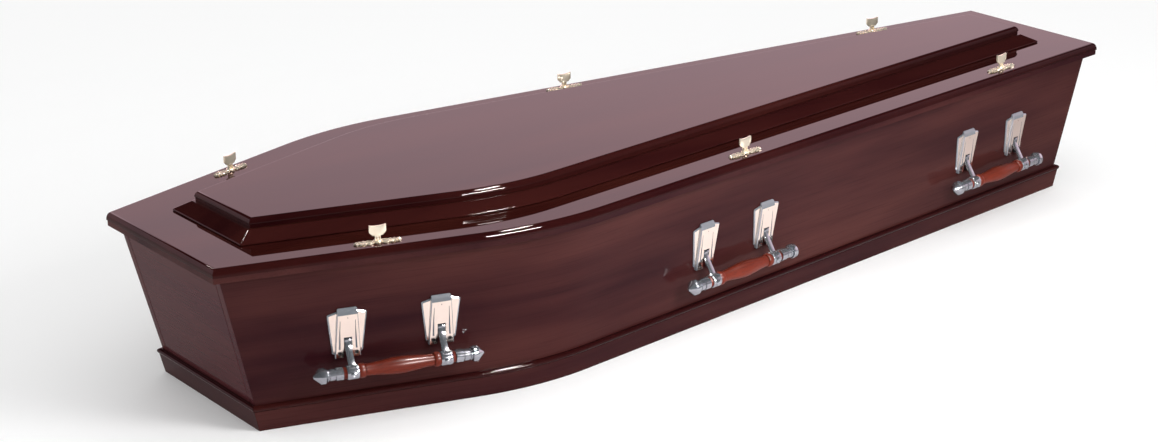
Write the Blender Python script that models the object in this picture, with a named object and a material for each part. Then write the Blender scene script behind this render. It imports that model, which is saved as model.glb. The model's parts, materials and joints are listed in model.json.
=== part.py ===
# Wooden coffin with a raised lid, a plinth, six swing handles and six lid screws.
# Metres, +Z up. X runs along the coffin with the head end at -X. The origin is on the
# floor, under the middle of the lid.

import bpy
import bmesh
from math import atan, cos, pi, radians, sin, tan
from mathutils import Matrix, Vector

# Clearance between pieces that touch on the real thing
GAP = 0.0003

# Plan of the lid's top edge: two straight sides that meet in a round shoulder
LENGTH = 2.020
HEAD_HALF_WIDTH = 0.169
SHOULDER_HALF_WIDTH = 0.331
FOOT_HALF_WIDTH = 0.166
SHOULDER_FROM_HEAD = 0.521
SHOULDER_RADIUS = 0.561
SHOULDER_STEPS = 8

# Box: boards that lean outwards towards the lid
BOX_HEIGHT = 0.2746
BOARD_THICKNESS = 0.016
BASE_THICKNESS = 0.016
BOX_INSET_UNDER_LID = 0.010
SIDE_RAKE = 0.110
HEAD_RAKE = 0.240
FOOT_RAKE = 0.210

# Plinth moulding round the foot of the box: a flat face under a round bead
PLINTH_DEPTH = 0.0068
PLINTH_FACE_HEIGHT = 0.0355
PLINTH_BEAD_DEPTH = 0.0088
PLINTH_BEAD_HEIGHT = 0.0095
PLINTH_BEAD_STEPS = 4

# Lid board with a rounded nose
LID_THICKNESS = 0.024
LID_NOSE = 0.008
LID_NOSE_DROP = 0.014
LID_UNDERCUT = 0.0015
NOSE_STEPS = 3

# Bevelled riser on the lid
RISER_INSET = 0.080
RISER_EDGE = 0.003
RISER_TOP_INSET = 0.106
RISER_HEIGHT = 0.0165

# Top panel on the riser
PANEL_INSET = 0.118
PANEL_HEIGHT = 0.016
PANEL_NOSE = 0.008
PANEL_NOSE_DROP = 0.0095
PANEL_UNDERCUT = 0.0012

# Lid screws: rosette, neck and thumb head
SCREW_STATIONS = (0.253, 1.006, 1.742)
ROSETTE_LENGTH = 0.079
ROSETTE_WIDTH = 0.019
ROSETTE_HEIGHT = 0.0030
ROSETTE_LOBES = 4
ROSETTE_SCALLOP = 0.30
ROSETTE_POINTS_PER_LOBE = 3
NECK_WIDTH = 0.0095
NECK_THICKNESS = 0.0048
NECK_HEIGHT = 0.0090
THUMB_WIDTH = 0.028
THUMB_HEIGHT = 0.0175
THUMB_THICKNESS = 0.0034
THUMB_CHAMFER = 0.0055
THUMB_DISH = 0.0016

# Where the handles sit: along the coffin from the head, and the height of their pivots
HANDLE_STATIONS = (0.282, 0.985, 1.722)
PIVOT_HEIGHT = 0.141
PIVOT_DEPTH = 0.0045
ARM_SPACING = 0.156

# Handle backplate: two wings and a taller raised panel, slotted for the arm
WING_TOP_WIDTH = 0.066
WING_BOTTOM_WIDTH = 0.050
WING_TOP = 0.0505
WING_SHOULDER_DROP = 0.004
WING_BOTTOM = -0.0245
WING_THICKNESS = 0.003
WING_BEVEL = 0.0014
RAISED_TOP_WIDTH = 0.033
RAISED_BOTTOM_WIDTH = 0.0425
RAISED_TOP = 0.056
RAISED_BOTTOM = -0.030
RAISED_THICKNESS = 0.007
RAISED_BEVEL = 0.0012
CAP_SLOPE = 0.0055
SLOT_WIDTH = 0.0138
SLOT_TOP = 0.006
FLUTE_TOP = 0.036
FLUTE_BOTTOM = -0.015
FLUTE_TOP_FROM_MIDDLE = 0.0125
SCREW_FROM_MIDDLE = 0.0140
FLUTE_TOP_WIDTH = 0.0012
FLUTE_BOTTOM_WIDTH = 0.0046
FLUTE_DEPTH = 0.0022
SCREW_HOLE_RADIUS = 0.0038
SCREW_HOLE_DEPTH = 0.003
SCREW_HOLE_HEIGHT = -0.0222
HOLE_SIDES = 8

# Handle arm, from the pivot down to its collar round the bar
ARM_WIDTH = 0.0112
ARM_THICKNESS = 0.0032
KNUCKLE_RADIUS = 0.0036
KNUCKLE_WIDTH = 0.0126
KNUCKLE_SIDES = 8
BAR_DROP = 0.0450
BAR_OUT = 0.0255
COLLAR_RADIUS = 0.0122
COLLAR_WIDTH = 0.0200
COLLAR_ROUNDING = 0.0016
BOSS_RADIUS = 0.0056
BOSS_TOP_RADIUS = 0.0031
BOSS_HEIGHT = 0.0026
BOSS_RIM_HEIGHT = 0.0008
BOSS_SIDES = 6
STRAP_STEPS = 4

# Turned bar and its end caps
BAR_RADIUS_MIDDLE = 0.0140
BAR_RADIUS_NECK = 0.0098
BEAD_RADIUS = 0.0122
BEAD_EDGE_RADIUS = 0.0110
BEAD_LENGTH = 0.0100
BEAD_QUIRK = 0.0015
SPACER_RADIUS = 0.0092
SPACER_LENGTH = 0.0055
BELLY_STEPS = 3
CAP_RING_RADIUS = 0.0108
CAP_RING_LENGTH = 0.0124
CAP_NECK_RADIUS = 0.0092
CAP_NECK_LENGTH = 0.0142
CAP_HEAD_RADIUS = 0.0132
CAP_HEAD_LENGTH = 0.0112
CAP_DOME_RADIUS = 0.0082
CAP_DOME_LENGTH = 0.0072
CAP_TIP_RADIUS = 0.0034
CAP_TIP_LENGTH = 0.0025
TURNED_SIDES = 8


def clear_scene():
    for item in list(bpy.data.objects):
        bpy.data.objects.remove(item, do_unlink=True)


def make_material(name, color, roughness, metallic):
    material = bpy.data.materials.new(name)
    material.use_nodes = True
    shader = material.node_tree.nodes["Principled BSDF"]
    shader.inputs["Base Color"].default_value = (*color, 1.0)
    shader.inputs["Roughness"].default_value = roughness
    shader.inputs["Metallic"].default_value = metallic
    material.diffuse_color = (*color, 1.0)
    return material


def add_object(name, mesh, material):
    if not mesh.materials:
        mesh.materials.append(material)
    item = bpy.data.objects.new(name, mesh)
    bpy.context.scene.collection.objects.link(item)
    return item


def mesh_from(name, bm, smooth_angle=30.0):
    bmesh.ops.recalc_face_normals(bm, faces=bm.faces)
    mesh = bpy.data.meshes.new(name)
    bm.to_mesh(mesh)
    bm.free()
    mesh.shade_smooth()
    mesh.set_sharp_from_angle(angle=radians(smooth_angle))
    return mesh


def loft(name, rings):
    """A closed mesh through rings of points, with a face over the first and the last ring."""
    bm = bmesh.new()
    loops = [[bm.verts.new(point) for point in ring] for ring in rings]
    count = len(loops[0])
    for low, high in zip(loops, loops[1:]):
        for i in range(count):
            j = (i + 1) % count
            bm.faces.new((low[i], low[j], high[j], high[i]))
    bm.faces.new(loops[0])
    bm.faces.new(loops[-1])
    return mesh_from(name, bm)


def turned(name, profile, sides):
    """A solid turned round the X axis from (x, radius) pairs."""
    rings = []
    for x, radius in profile:
        angles = [2 * pi * (k + 0.5) / sides for k in range(sides)]
        rings.append([(x, radius * cos(a), radius * sin(a)) for a in angles])
    return loft(name, rings)


# The plan outline

def plan_lines():
    """Corners, directions and outward normals of the straight head and foot stretches."""
    head = Vector((0, HEAD_HALF_WIDTH))
    shoulder = Vector((SHOULDER_FROM_HEAD, SHOULDER_HALF_WIDTH))
    foot = Vector((LENGTH, FOOT_HALF_WIDTH))
    head_run = (shoulder - head).normalized()
    foot_run = (foot - shoulder).normalized()
    head_out = Vector((-head_run.y, head_run.x))
    foot_out = Vector((-foot_run.y, foot_run.x))
    return head, shoulder, foot, head_run, foot_run, head_out, foot_out


def side_path(side, head_inset, foot_inset):
    """Points of one long side from head to foot, set in from the lid's edge. Y is positive."""
    head, shoulder, foot, head_run, foot_run, head_out, foot_out = plan_lines()
    turn = head_run.angle(foot_run)
    reach = SHOULDER_RADIUS * tan(turn / 2)
    centre = shoulder - head_run * reach - head_out * SHOULDER_RADIUS
    first = head - head_out * side
    first += head_run * ((head_inset - first.x) / head_run.x)
    last = foot - foot_out * side
    last += foot_run * ((LENGTH - foot_inset - last.x) / foot_run.x)
    start = Vector((0, 1)).angle(head_out)
    points = [first]
    for k in range(SHOULDER_STEPS + 1):
        angle = -start + turn * k / SHOULDER_STEPS
        points.append(centre + Vector((sin(angle), cos(angle))) * (SHOULDER_RADIUS - side))
    points.append(last)
    return [Vector((p.x - LENGTH / 2, p.y)) for p in points]


def plan_ring(inset, z):
    """The whole outline at one inset and height."""
    path = side_path(inset, inset, inset)
    near = [(p.x, -p.y, z) for p in path]
    far = [(p.x, p.y, z) for p in reversed(path)]
    return near + far


def side_inset(z):
    return BOX_INSET_UNDER_LID + SIDE_RAKE * (BOX_HEIGHT - z)


def head_inset(z):
    return BOX_INSET_UNDER_LID + HEAD_RAKE * (BOX_HEIGHT - z)


def foot_inset(z):
    return BOX_INSET_UNDER_LID + FOOT_RAKE * (BOX_HEIGHT - z)


def box_path(depth, z):
    """One side of the box at height z, at a depth inside its outer faces."""
    return side_path(side_inset(z) + depth, head_inset(z) + depth, foot_inset(z) + depth)


# Box

def side_board(name, hand, material):
    outer_low = side_path(side_inset(0), head_inset(0), foot_inset(0))
    outer_high = side_path(side_inset(BOX_HEIGHT), head_inset(BOX_HEIGHT), foot_inset(BOX_HEIGHT))
    inner_low = side_path(side_inset(0) + BOARD_THICKNESS, head_inset(0), foot_inset(0))
    inner_high = side_path(side_inset(BOX_HEIGHT) + BOARD_THICKNESS,
                           head_inset(BOX_HEIGHT), foot_inset(BOX_HEIGHT))
    rings = []
    for a, b, c, d in zip(outer_low, outer_high, inner_high, inner_low):
        rings.append([(a.x, hand * a.y, 0), (b.x, hand * b.y, BOX_HEIGHT),
                      (c.x, hand * c.y, BOX_HEIGHT), (d.x, hand * d.y, 0)])
    return add_object(name, loft(name, rings), material)


def end_board(name, end, material):
    """The head board (end 0) or the foot board (end -1), held between the side boards."""
    rings = []
    for z in (0, BOX_HEIGHT):
        outer = side_path(side_inset(z) + BOARD_THICKNESS + GAP, head_inset(z), foot_inset(z))[end]
        inner = side_path(side_inset(z) + BOARD_THICKNESS + GAP, head_inset(z) + BOARD_THICKNESS,
                          foot_inset(z) + BOARD_THICKNESS)[end]
        rings.append([(outer.x, -outer.y, z), (outer.x, outer.y, z),
                      (inner.x, inner.y, z), (inner.x, -inner.y, z)])
    return add_object(name, loft(name, rings), material)


def base_board(name, material):
    rings = []
    for z in (0, BASE_THICKNESS):
        path = box_path(BOARD_THICKNESS + GAP, z)
        near = [(p.x, -p.y, z) for p in path]
        far = [(p.x, p.y, z) for p in reversed(path)]
        rings.append(near + far)
    return add_object(name, loft(name, rings), material)


def plinth_profile():
    """(depth in front of the board, height) pairs, from the floor up the face and over the bead."""
    points = [(GAP, 0), (PLINTH_DEPTH, 0)]
    half_height = PLINTH_BEAD_HEIGHT / 2
    for k in range(PLINTH_BEAD_STEPS + 1):
        angle = pi * (k / PLINTH_BEAD_STEPS - 0.5)
        # the bead springs from the face below its middle and meets the board above it
        back = PLINTH_DEPTH if angle < 0 else GAP
        depth = back + (PLINTH_BEAD_DEPTH - back) * cos(angle)
        points.append((depth, PLINTH_FACE_HEIGHT + half_height * (1 + sin(angle))))
    return points


def plinth_side(name, hand, material):
    paths = [box_path(-depth, z) for depth, z in plinth_profile()]
    heights = [z for depth, z in plinth_profile()]
    last = len(paths[0]) - 1
    rings = []
    for i in range(last + 1):
        ring = []
        for path, z in zip(paths, heights):
            point = path[i]
            if i == 0:
                point = point + (path[1] - path[0]).normalized() * GAP
            if i == last:
                point = point + (path[-2] - path[-1]).normalized() * GAP
            ring.append((point.x, hand * point.y, z))
        rings.append(ring)
    return add_object(name, loft(name, rings), material)


def plinth_end(name, end, material):
    rings = []
    for hand in (-1, 1):
        ring = []
        for depth, z in plinth_profile():
            point = box_path(-depth, z)[end]
            ring.append((point.x, hand * (point.y - GAP), z))
        rings.append(ring)
    return add_object(name, loft(name, rings), material)


# Lid

def nose(edge, drop, reach, steps):
    """(inset, drop below the top) pairs of a rounded nose, from its widest point up to the top."""
    pairs = []
    for k in range(steps + 1):
        angle = pi / 2 * (1 - k / steps)
        pairs.append((edge - reach * sin(angle), drop * (1 - cos(angle))))
    return pairs


def edged_board(name, edge, reach, drop, undercut, thickness, bottom, material):
    """A board of the lid's plan whose edge is rounded at the top and drawn in below."""
    top = bottom + thickness
    rings = [plan_ring(edge - reach + undercut, bottom)]
    for inset, below in nose(edge, drop, reach, NOSE_STEPS):
        rings.append(plan_ring(inset, top - below))
    return add_object(name, loft(name, rings), material)


def riser_board(name, bottom, material):
    rings = [plan_ring(RISER_INSET, bottom), plan_ring(RISER_INSET, bottom + RISER_EDGE),
             plan_ring(RISER_TOP_INSET, bottom + RISER_HEIGHT)]
    return add_object(name, loft(name, rings), material)


# Shapes cut from or joined to a solid

def boolean(target, cutter, operation):
    modifier = target.modifiers.new("Cut" if operation == "DIFFERENCE" else "Join", "BOOLEAN")
    modifier.operation = operation
    modifier.solver = "EXACT"
    modifier.object = cutter
    cutter.hide_render = True
    cutter.display_type = "WIRE"


def bake(item):
    """The object's mesh with its modifiers worked in. The object and its cutters are removed."""
    bpy.context.view_layer.update()
    graph = bpy.context.evaluated_depsgraph_get()
    mesh = bpy.data.meshes.new_from_object(item.evaluated_get(graph))
    used = [item]
    name = item.name
    for modifier in item.modifiers:
        used.append(modifier.object)
    for old in used:
        bpy.data.objects.remove(old, do_unlink=True)
    bm = bmesh.new()
    bm.from_mesh(mesh)
    bmesh.ops.dissolve_limit(bm, angle_limit=radians(0.5), verts=bm.verts, edges=bm.edges)
    bmesh.ops.triangulate(bm, faces=bm.faces)
    bpy.data.meshes.remove(mesh)
    return mesh_from(name, bm)


def prism(name, outline, low, high, plane):
    """A prism over an outline. plane places (a, b, height) as a point."""
    rings = [[plane(a, b, low) for a, b in outline], [plane(a, b, high) for a, b in outline]]
    return loft(name, rings)


def front(a, b, height):
    """Outline in the face of the board: a along it, b up it, height out of it."""
    return (a, PIVOT_DEPTH - height, b)


def sideways(a, b, height):
    """Outline seen from the side: a outwards, b up, height along the bar."""
    return (height, -a, b)


# Handle

def wing_outline(shrink):
    half_top = WING_TOP_WIDTH / 2 - shrink
    half_bottom = WING_BOTTOM_WIDTH / 2 - shrink
    half_raised = RAISED_TOP_WIDTH / 2
    shoulder = WING_TOP - WING_SHOULDER_DROP
    return [(-half_bottom, WING_BOTTOM + shrink), (half_bottom, WING_BOTTOM + shrink),
            (half_top, shoulder - shrink), (half_raised, WING_TOP - shrink),
            (-half_raised, WING_TOP - shrink), (-half_top, shoulder - shrink)]


def raised_outline(shrink, top_drop):
    half_top = RAISED_TOP_WIDTH / 2 - shrink
    half_bottom = RAISED_BOTTOM_WIDTH / 2 - shrink
    return [(-half_bottom, RAISED_BOTTOM + shrink), (half_bottom, RAISED_BOTTOM + shrink),
            (half_top, RAISED_TOP - top_drop), (-half_top, RAISED_TOP - top_drop)]


def backplate_mesh(material):
    wing_rings = []
    for shrink, height in ((0, GAP), (0, WING_THICKNESS - WING_BEVEL), (WING_BEVEL, WING_THICKNESS)):
        wing_rings.append([front(a, b, height) for a, b in wing_outline(shrink)])
    plate = add_object("wings", loft("wings", wing_rings), material)
    raised_rings = []
    for shrink, drop, height in ((0, 0, GAP), (0, 0, WING_THICKNESS),
                                 (0, RAISED_BEVEL, RAISED_THICKNESS - RAISED_BEVEL),
                                 (RAISED_BEVEL, CAP_SLOPE, RAISED_THICKNESS)):
        raised_rings.append([front(a, b, height) for a, b in raised_outline(shrink, drop)])
    boolean(plate, add_object("raised", loft("raised", raised_rings), material), "UNION")
    half_slot = SLOT_WIDTH / 2
    below = RAISED_BOTTOM - RAISED_THICKNESS
    slot = [(-half_slot, below), (half_slot, below), (half_slot, SLOT_TOP), (-half_slot, SLOT_TOP)]
    over = RAISED_THICKNESS * 2
    boolean(plate, add_object("slot", prism("slot", slot, -over, over, front), material), "DIFFERENCE")
    for hand in (-1, 1):
        flute = [(hand * (SCREW_FROM_MIDDLE - FLUTE_BOTTOM_WIDTH / 2), FLUTE_BOTTOM),
                 (hand * (SCREW_FROM_MIDDLE + FLUTE_BOTTOM_WIDTH / 2), FLUTE_BOTTOM),
                 (hand * (FLUTE_TOP_FROM_MIDDLE + FLUTE_TOP_WIDTH / 2), FLUTE_TOP),
                 (hand * (FLUTE_TOP_FROM_MIDDLE - FLUTE_TOP_WIDTH / 2), FLUTE_TOP)]
        floor = RAISED_THICKNESS - FLUTE_DEPTH
        boolean(plate, add_object("flute", prism("flute", flute, floor, over, front), material), "DIFFERENCE")
        hole = []
        for k in range(HOLE_SIDES):
            angle = 2 * pi * (k + 0.5) / HOLE_SIDES
            hole.append((hand * SCREW_FROM_MIDDLE + SCREW_HOLE_RADIUS * cos(angle),
                         SCREW_HOLE_HEIGHT + SCREW_HOLE_RADIUS * sin(angle)))
        floor = RAISED_THICKNESS - SCREW_HOLE_DEPTH
        boolean(plate, add_object("hole", prism("hole", hole, floor, over, front), material), "DIFFERENCE")
    return bake(plate)


def arm_outline():
    """The bent strap seen from the side, from the knuckle to the middle of the collar."""
    points = []
    for k in range(STRAP_STEPS + 1):
        t = k / STRAP_STEPS
        # a smooth sweep outwards that starts and ends running down
        out = BAR_OUT * (3 * t * t - 2 * t * t * t)
        points.append(Vector((out, -BAR_DROP * t)))
    front_edge = []
    back_edge = []
    for k, point in enumerate(points):
        before = points[max(k - 1, 0)]
        after = points[min(k + 1, STRAP_STEPS)]
        run = (after - before).normalized()
        across = Vector((-run.y, run.x)) * (ARM_THICKNESS / 2)
        front_edge.append(point + across)
        back_edge.append(point - across)
    return [(p.x, p.y) for p in front_edge + back_edge[::-1]]


def ring_outline(x, z, radius, sides):
    points = []
    for k in range(sides):
        angle = 2 * pi * (k + 0.5) / sides
        points.append((x + radius * cos(angle), z + radius * sin(angle)))
    return points


def arm_mesh(material):
    half = ARM_WIDTH / 2
    arm = add_object("strap", prism("strap", arm_outline(), -half, half, sideways), material)
    half = KNUCKLE_WIDTH / 2
    knuckle = prism("knuckle", ring_outline(0, 0, KNUCKLE_RADIUS, KNUCKLE_SIDES), -half, half, sideways)
    boolean(arm, add_object("knuckle", knuckle, material), "UNION")
    half = COLLAR_WIDTH / 2
    collar_rings = []
    for x, radius in ((-half, COLLAR_RADIUS - COLLAR_ROUNDING), (-half / 2, COLLAR_RADIUS),
                      (half / 2, COLLAR_RADIUS), (half, COLLAR_RADIUS - COLLAR_ROUNDING)):
        ring = ring_outline(BAR_OUT, -BAR_DROP, radius, TURNED_SIDES)
        collar_rings.append([sideways(a, b, x) for a, b in ring])
    boolean(arm, add_object("collar", loft("collar", collar_rings), material), "UNION")
    face = BAR_OUT + COLLAR_RADIUS * cos(pi / TURNED_SIDES)
    boss_rings = []
    for height, radius in ((-BOSS_HEIGHT, BOSS_RADIUS), (BOSS_RIM_HEIGHT, BOSS_RADIUS),
                           (BOSS_HEIGHT, BOSS_TOP_RADIUS)):
        ring = ring_outline(0, -BAR_DROP, radius, BOSS_SIDES)
        boss_rings.append([(a, -(face + height), b) for a, b in ring])
    boolean(arm, add_object("boss", loft("boss", boss_rings), material), "UNION")
    bore = prism("bore", ring_outline(BAR_OUT, -BAR_DROP, SPACER_RADIUS + GAP, TURNED_SIDES),
                 -COLLAR_WIDTH, COLLAR_WIDTH, sideways)
    boolean(arm, add_object("bore", bore, material), "DIFFERENCE")
    return bake(arm)


def bar_profile():
    """(x, radius) pairs of the turned bar, from one end to the other."""
    inner = ARM_SPACING / 2 - COLLAR_WIDTH / 2 - GAP
    outer = ARM_SPACING / 2 + COLLAR_WIDTH / 2 + SPACER_LENGTH
    belly = inner - BEAD_LENGTH - BEAD_QUIRK
    half = [(outer, SPACER_RADIUS), (inner, SPACER_RADIUS), (inner, BEAD_EDGE_RADIUS),
            (inner - BEAD_LENGTH / 2, BEAD_RADIUS), (inner - BEAD_LENGTH, BEAD_EDGE_RADIUS),
            (belly, BAR_RADIUS_NECK)]
    for k in range(1, BELLY_STEPS):
        t = k / BELLY_STEPS
        swell = (1 - cos(pi * t)) / 2
        half.append((belly * (1 - t), BAR_RADIUS_NECK + (BAR_RADIUS_MIDDLE - BAR_RADIUS_NECK) * swell))
    left = [(-x, radius) for x, radius in half]
    return left + [(0, BAR_RADIUS_MIDDLE)] + half[::-1]


def cap_profile():
    """(x, radius) pairs of an end cap that points along +X, from its open end to its tip."""
    ring = CAP_RING_LENGTH
    neck = ring + CAP_NECK_LENGTH
    head = neck + CAP_HEAD_LENGTH
    dome = head + CAP_DOME_LENGTH
    return [(0, CAP_RING_RADIUS), (ring, CAP_RING_RADIUS), (ring, CAP_NECK_RADIUS),
            (neck, CAP_NECK_RADIUS), (neck, CAP_HEAD_RADIUS), (head, CAP_HEAD_RADIUS),
            (dome, CAP_DOME_RADIUS), (dome + CAP_TIP_LENGTH, CAP_TIP_RADIUS)]


def on_path(path, x):
    """The point of a path at one X, and the direction of its run there."""
    for a, b in zip(path, path[1:]):
        if a.x <= x <= b.x:
            break
    return a + (b - a) * ((x - a.x) / (b.x - a.x)), (b - a).normalized()


def handle_frame(station, hand):
    """World matrix of a handle: X along the side, -Y out of it, Z up its face, origin on the pivot."""
    path = side_path(side_inset(PIVOT_HEIGHT), 0, 0)
    point, run = on_path(path, station - LENGTH / 2)
    flat_out = Vector((-run.y, hand * run.x, 0))
    tilt = atan(SIDE_RAKE)
    out = flat_out * cos(tilt) - Vector((0, 0, sin(tilt)))
    up = flat_out * sin(tilt) + Vector((0, 0, cos(tilt)))
    along = (-out).cross(up)
    matrix = Matrix((along, -out, up)).transposed().to_4x4()
    matrix.translation = Vector((point.x, hand * point.y, PIVOT_HEIGHT)) + out * PIVOT_DEPTH
    return matrix


def place(name, mesh, matrix, material):
    item = add_object(name, mesh, material)
    item.matrix_world = matrix
    return item


def handles(nickel, bar_wood):
    plate = backplate_mesh(nickel)
    arm = arm_mesh(nickel)
    bar = turned("bar", bar_profile(), TURNED_SIDES)
    cap = turned("cap", cap_profile(), TURNED_SIDES)
    cap_at = ARM_SPACING / 2 + COLLAR_WIDTH / 2 + SPACER_LENGTH + GAP
    bar_place = Matrix.Translation((0, -BAR_OUT, -BAR_DROP))
    for side, hand in (("left", -1), ("right", 1)):
        for station, where in zip(HANDLE_STATIONS, ("head", "middle", "foot")):
            frame = handle_frame(station, hand)
            title = "%s_%s_handle" % (side, where)
            place(title + "_bar", bar, frame @ bar_place, bar_wood)
            for end, direction in (("a", -1), ("b", 1)):
                shift = Matrix.Translation((direction * ARM_SPACING / 2, 0, 0))
                place(title + "_backplate_" + end, plate, frame @ shift, nickel)
                place(title + "_arm_" + end, arm, frame @ shift, nickel)
                turn = Matrix.Rotation(pi if direction < 0 else 0, 4, "Z")
                move = Matrix.Translation((direction * cap_at, 0, 0))
                place(title + "_cap_" + end, cap, frame @ bar_place @ move @ turn, nickel)


# Lid screws

def rosette_outline():
    """A long narrow outline of scalloped leaves that taper to both ends."""
    steps = ROSETTE_LOBES * ROSETTE_POINTS_PER_LOBE
    half = []
    for k in range(1, steps):
        t = 2 * k / steps - 1
        taper = 0.5 + 0.5 * cos(pi * t / 2)
        wave = 1 - ROSETTE_SCALLOP * (0.5 + 0.5 * cos(2 * pi * ROSETTE_LOBES * k / steps))
        half.append((ROSETTE_LENGTH / 2 * t, ROSETTE_WIDTH / 2 * taper * wave))
    near = [(x, -y) for x, y in half]
    return [(-ROSETTE_LENGTH / 2, 0)] + near + [(ROSETTE_LENGTH / 2, 0)] + half[::-1]


def screw_mesh(material):
    def flat(a, b, height):
        return (a, b, height)

    def upright(a, b, height):
        return (a, height, b)

    rosette = prism("rosette", rosette_outline(), 0, ROSETTE_HEIGHT, flat)
    screw = add_object("rosette", rosette, material)
    half = NECK_WIDTH / 2
    neck_top = ROSETTE_HEIGHT + NECK_HEIGHT
    neck = [(-half, ROSETTE_HEIGHT / 2), (half, ROSETTE_HEIGHT / 2),
            (half, neck_top + THUMB_DISH), (-half, neck_top + THUMB_DISH)]
    deep = NECK_THICKNESS / 2
    boolean(screw, add_object("neck", prism("neck", neck, -deep, deep, upright), material), "UNION")
    wide = THUMB_WIDTH / 2
    top = neck_top + THUMB_HEIGHT
    thumb = [(-wide + THUMB_CHAMFER, neck_top), (wide - THUMB_CHAMFER, neck_top),
             (wide, neck_top + THUMB_CHAMFER), (wide, top), (0, top - THUMB_DISH),
             (-wide, top), (-wide, neck_top + THUMB_CHAMFER)]
    deep = THUMB_THICKNESS / 2
    boolean(screw, add_object("thumb", prism("thumb", thumb, -deep, deep, upright), material), "UNION")
    return bake(screw)


def lid_screws(top, brass):
    mesh = screw_mesh(brass)
    # the screws go down into the middle of the side boards' upper edges
    inset = BOX_INSET_UNDER_LID + BOARD_THICKNESS / 2
    path = side_path(inset, 0, 0)
    for side, hand in (("left", -1), ("right", 1)):
        for station, where in zip(SCREW_STATIONS, ("head", "middle", "foot")):
            point, run = on_path(path, station - LENGTH / 2)
            along = Vector((run.x, hand * run.y, 0))
            up = Vector((0, 0, 1))
            matrix = Matrix((along, up.cross(along), up)).transposed().to_4x4()
            matrix.translation = (point.x, hand * point.y, top + GAP)
            place("%s_%s_lid_screw" % (side, where), mesh, matrix, brass)


def build():
    clear_scene()
    mahogany = make_material("lacquered_mahogany", (0.055, 0.014, 0.010), 0.12, 0.0)
    bar_wood = make_material("red_turned_wood", (0.22, 0.035, 0.016), 0.25, 0.0)
    nickel = make_material("nickel", (0.72, 0.69, 0.66), 0.20, 1.0)
    brass = make_material("pale_brass", (0.80, 0.72, 0.50), 0.22, 1.0)

    base_board("base_board", mahogany)
    side_board("left_side_board", -1, mahogany)
    side_board("right_side_board", 1, mahogany)
    end_board("head_board", 0, mahogany)
    end_board("foot_board", -1, mahogany)
    plinth_side("left_plinth", -1, mahogany)
    plinth_side("right_plinth", 1, mahogany)
    plinth_end("head_plinth", 0, mahogany)
    plinth_end("foot_plinth", -1, mahogany)

    lid_bottom = BOX_HEIGHT + GAP
    edged_board("lid_board", 0, LID_NOSE, LID_NOSE_DROP, LID_UNDERCUT, LID_THICKNESS,
                lid_bottom, mahogany)
    lid_top = lid_bottom + LID_THICKNESS
    riser_board("lid_riser", lid_top + GAP, mahogany)
    panel_bottom = lid_top + GAP + RISER_HEIGHT + GAP
    edged_board("lid_top_panel", PANEL_INSET, PANEL_NOSE, PANEL_NOSE_DROP, PANEL_UNDERCUT,
                PANEL_HEIGHT, panel_bottom, mahogany)
    lid_screws(lid_top, brass)
    handles(nickel, bar_wood)


build()
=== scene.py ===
import json
from math import atan, cos, pi, radians, sin, sqrt, tan

import bmesh
import bpy
from mathutils import Matrix, Vector

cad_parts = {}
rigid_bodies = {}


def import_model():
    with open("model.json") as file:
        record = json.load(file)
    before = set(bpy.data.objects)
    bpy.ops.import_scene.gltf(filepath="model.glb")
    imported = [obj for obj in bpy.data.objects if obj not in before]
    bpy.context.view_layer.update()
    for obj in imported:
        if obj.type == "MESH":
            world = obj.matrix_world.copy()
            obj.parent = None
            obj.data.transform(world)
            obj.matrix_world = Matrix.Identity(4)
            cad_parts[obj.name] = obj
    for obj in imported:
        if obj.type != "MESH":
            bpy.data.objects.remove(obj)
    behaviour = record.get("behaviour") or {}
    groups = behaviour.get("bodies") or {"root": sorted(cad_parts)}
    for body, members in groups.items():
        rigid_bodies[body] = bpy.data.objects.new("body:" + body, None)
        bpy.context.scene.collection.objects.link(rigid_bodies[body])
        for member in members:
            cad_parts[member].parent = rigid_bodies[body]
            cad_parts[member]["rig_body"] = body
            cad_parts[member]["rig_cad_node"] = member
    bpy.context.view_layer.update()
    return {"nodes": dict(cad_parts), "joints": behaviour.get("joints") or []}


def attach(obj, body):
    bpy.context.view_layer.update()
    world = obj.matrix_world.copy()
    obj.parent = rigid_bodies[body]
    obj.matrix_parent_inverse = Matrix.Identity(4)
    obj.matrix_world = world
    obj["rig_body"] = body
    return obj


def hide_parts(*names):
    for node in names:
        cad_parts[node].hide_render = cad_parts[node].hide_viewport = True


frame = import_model()

plan = {                 # top edge of the lid, seen from above; the head end is at -X
    "length": 2.020,
    "headHalf": 0.169,
    "shoulderHalf": 0.331,
    "footHalf": 0.166,
    "shoulderFromHead": 0.521,
    "shoulderRadius": 0.561,
    "arcSteps": 28,
    "runOut": 0.12,      # spare length past each end, cut off at the end boards
}
box = {
    "height": 0.2746,
    "board": 0.016,
    "underLid": 0.010,   # how far the boards' top edge sits inside the lid's
    "sideRake": 0.110,
    "headRake": 0.240,
    "footRake": 0.210,
    "corner": 0.0012,    # rounding of the boards' corners
    "bevelSteps": 3,
}
gap = 0.0003             # clearance between pieces that touch
weld = 0.00001           # merge distance
xAxis = Vector((1, 0, 0))
zUp = Vector((0, 0, 1))
farSide = Vector((1, -1, 1))     # mirrors a point to the other long side
sideHands = {"left": -1, "right": 1}
endHands = {"head": -1, "foot": 1}


# Helpers for editing

def onlyThis(obj):
    if bpy.context.mode != "OBJECT":
        bpy.ops.object.mode_set(mode="OBJECT")
    bpy.ops.object.select_all(action="DESELECT")
    obj.select_set(True)
    bpy.context.view_layer.objects.active = obj


def intoEdit(obj, mode="VERT"):
    onlyThis(obj)
    bpy.ops.object.mode_set(mode="EDIT")
    bpy.ops.mesh.select_mode(type=mode)
    bpy.ops.mesh.select_all(action="SELECT")


def leaveEdit():
    bpy.ops.object.mode_set(mode="OBJECT")


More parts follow.
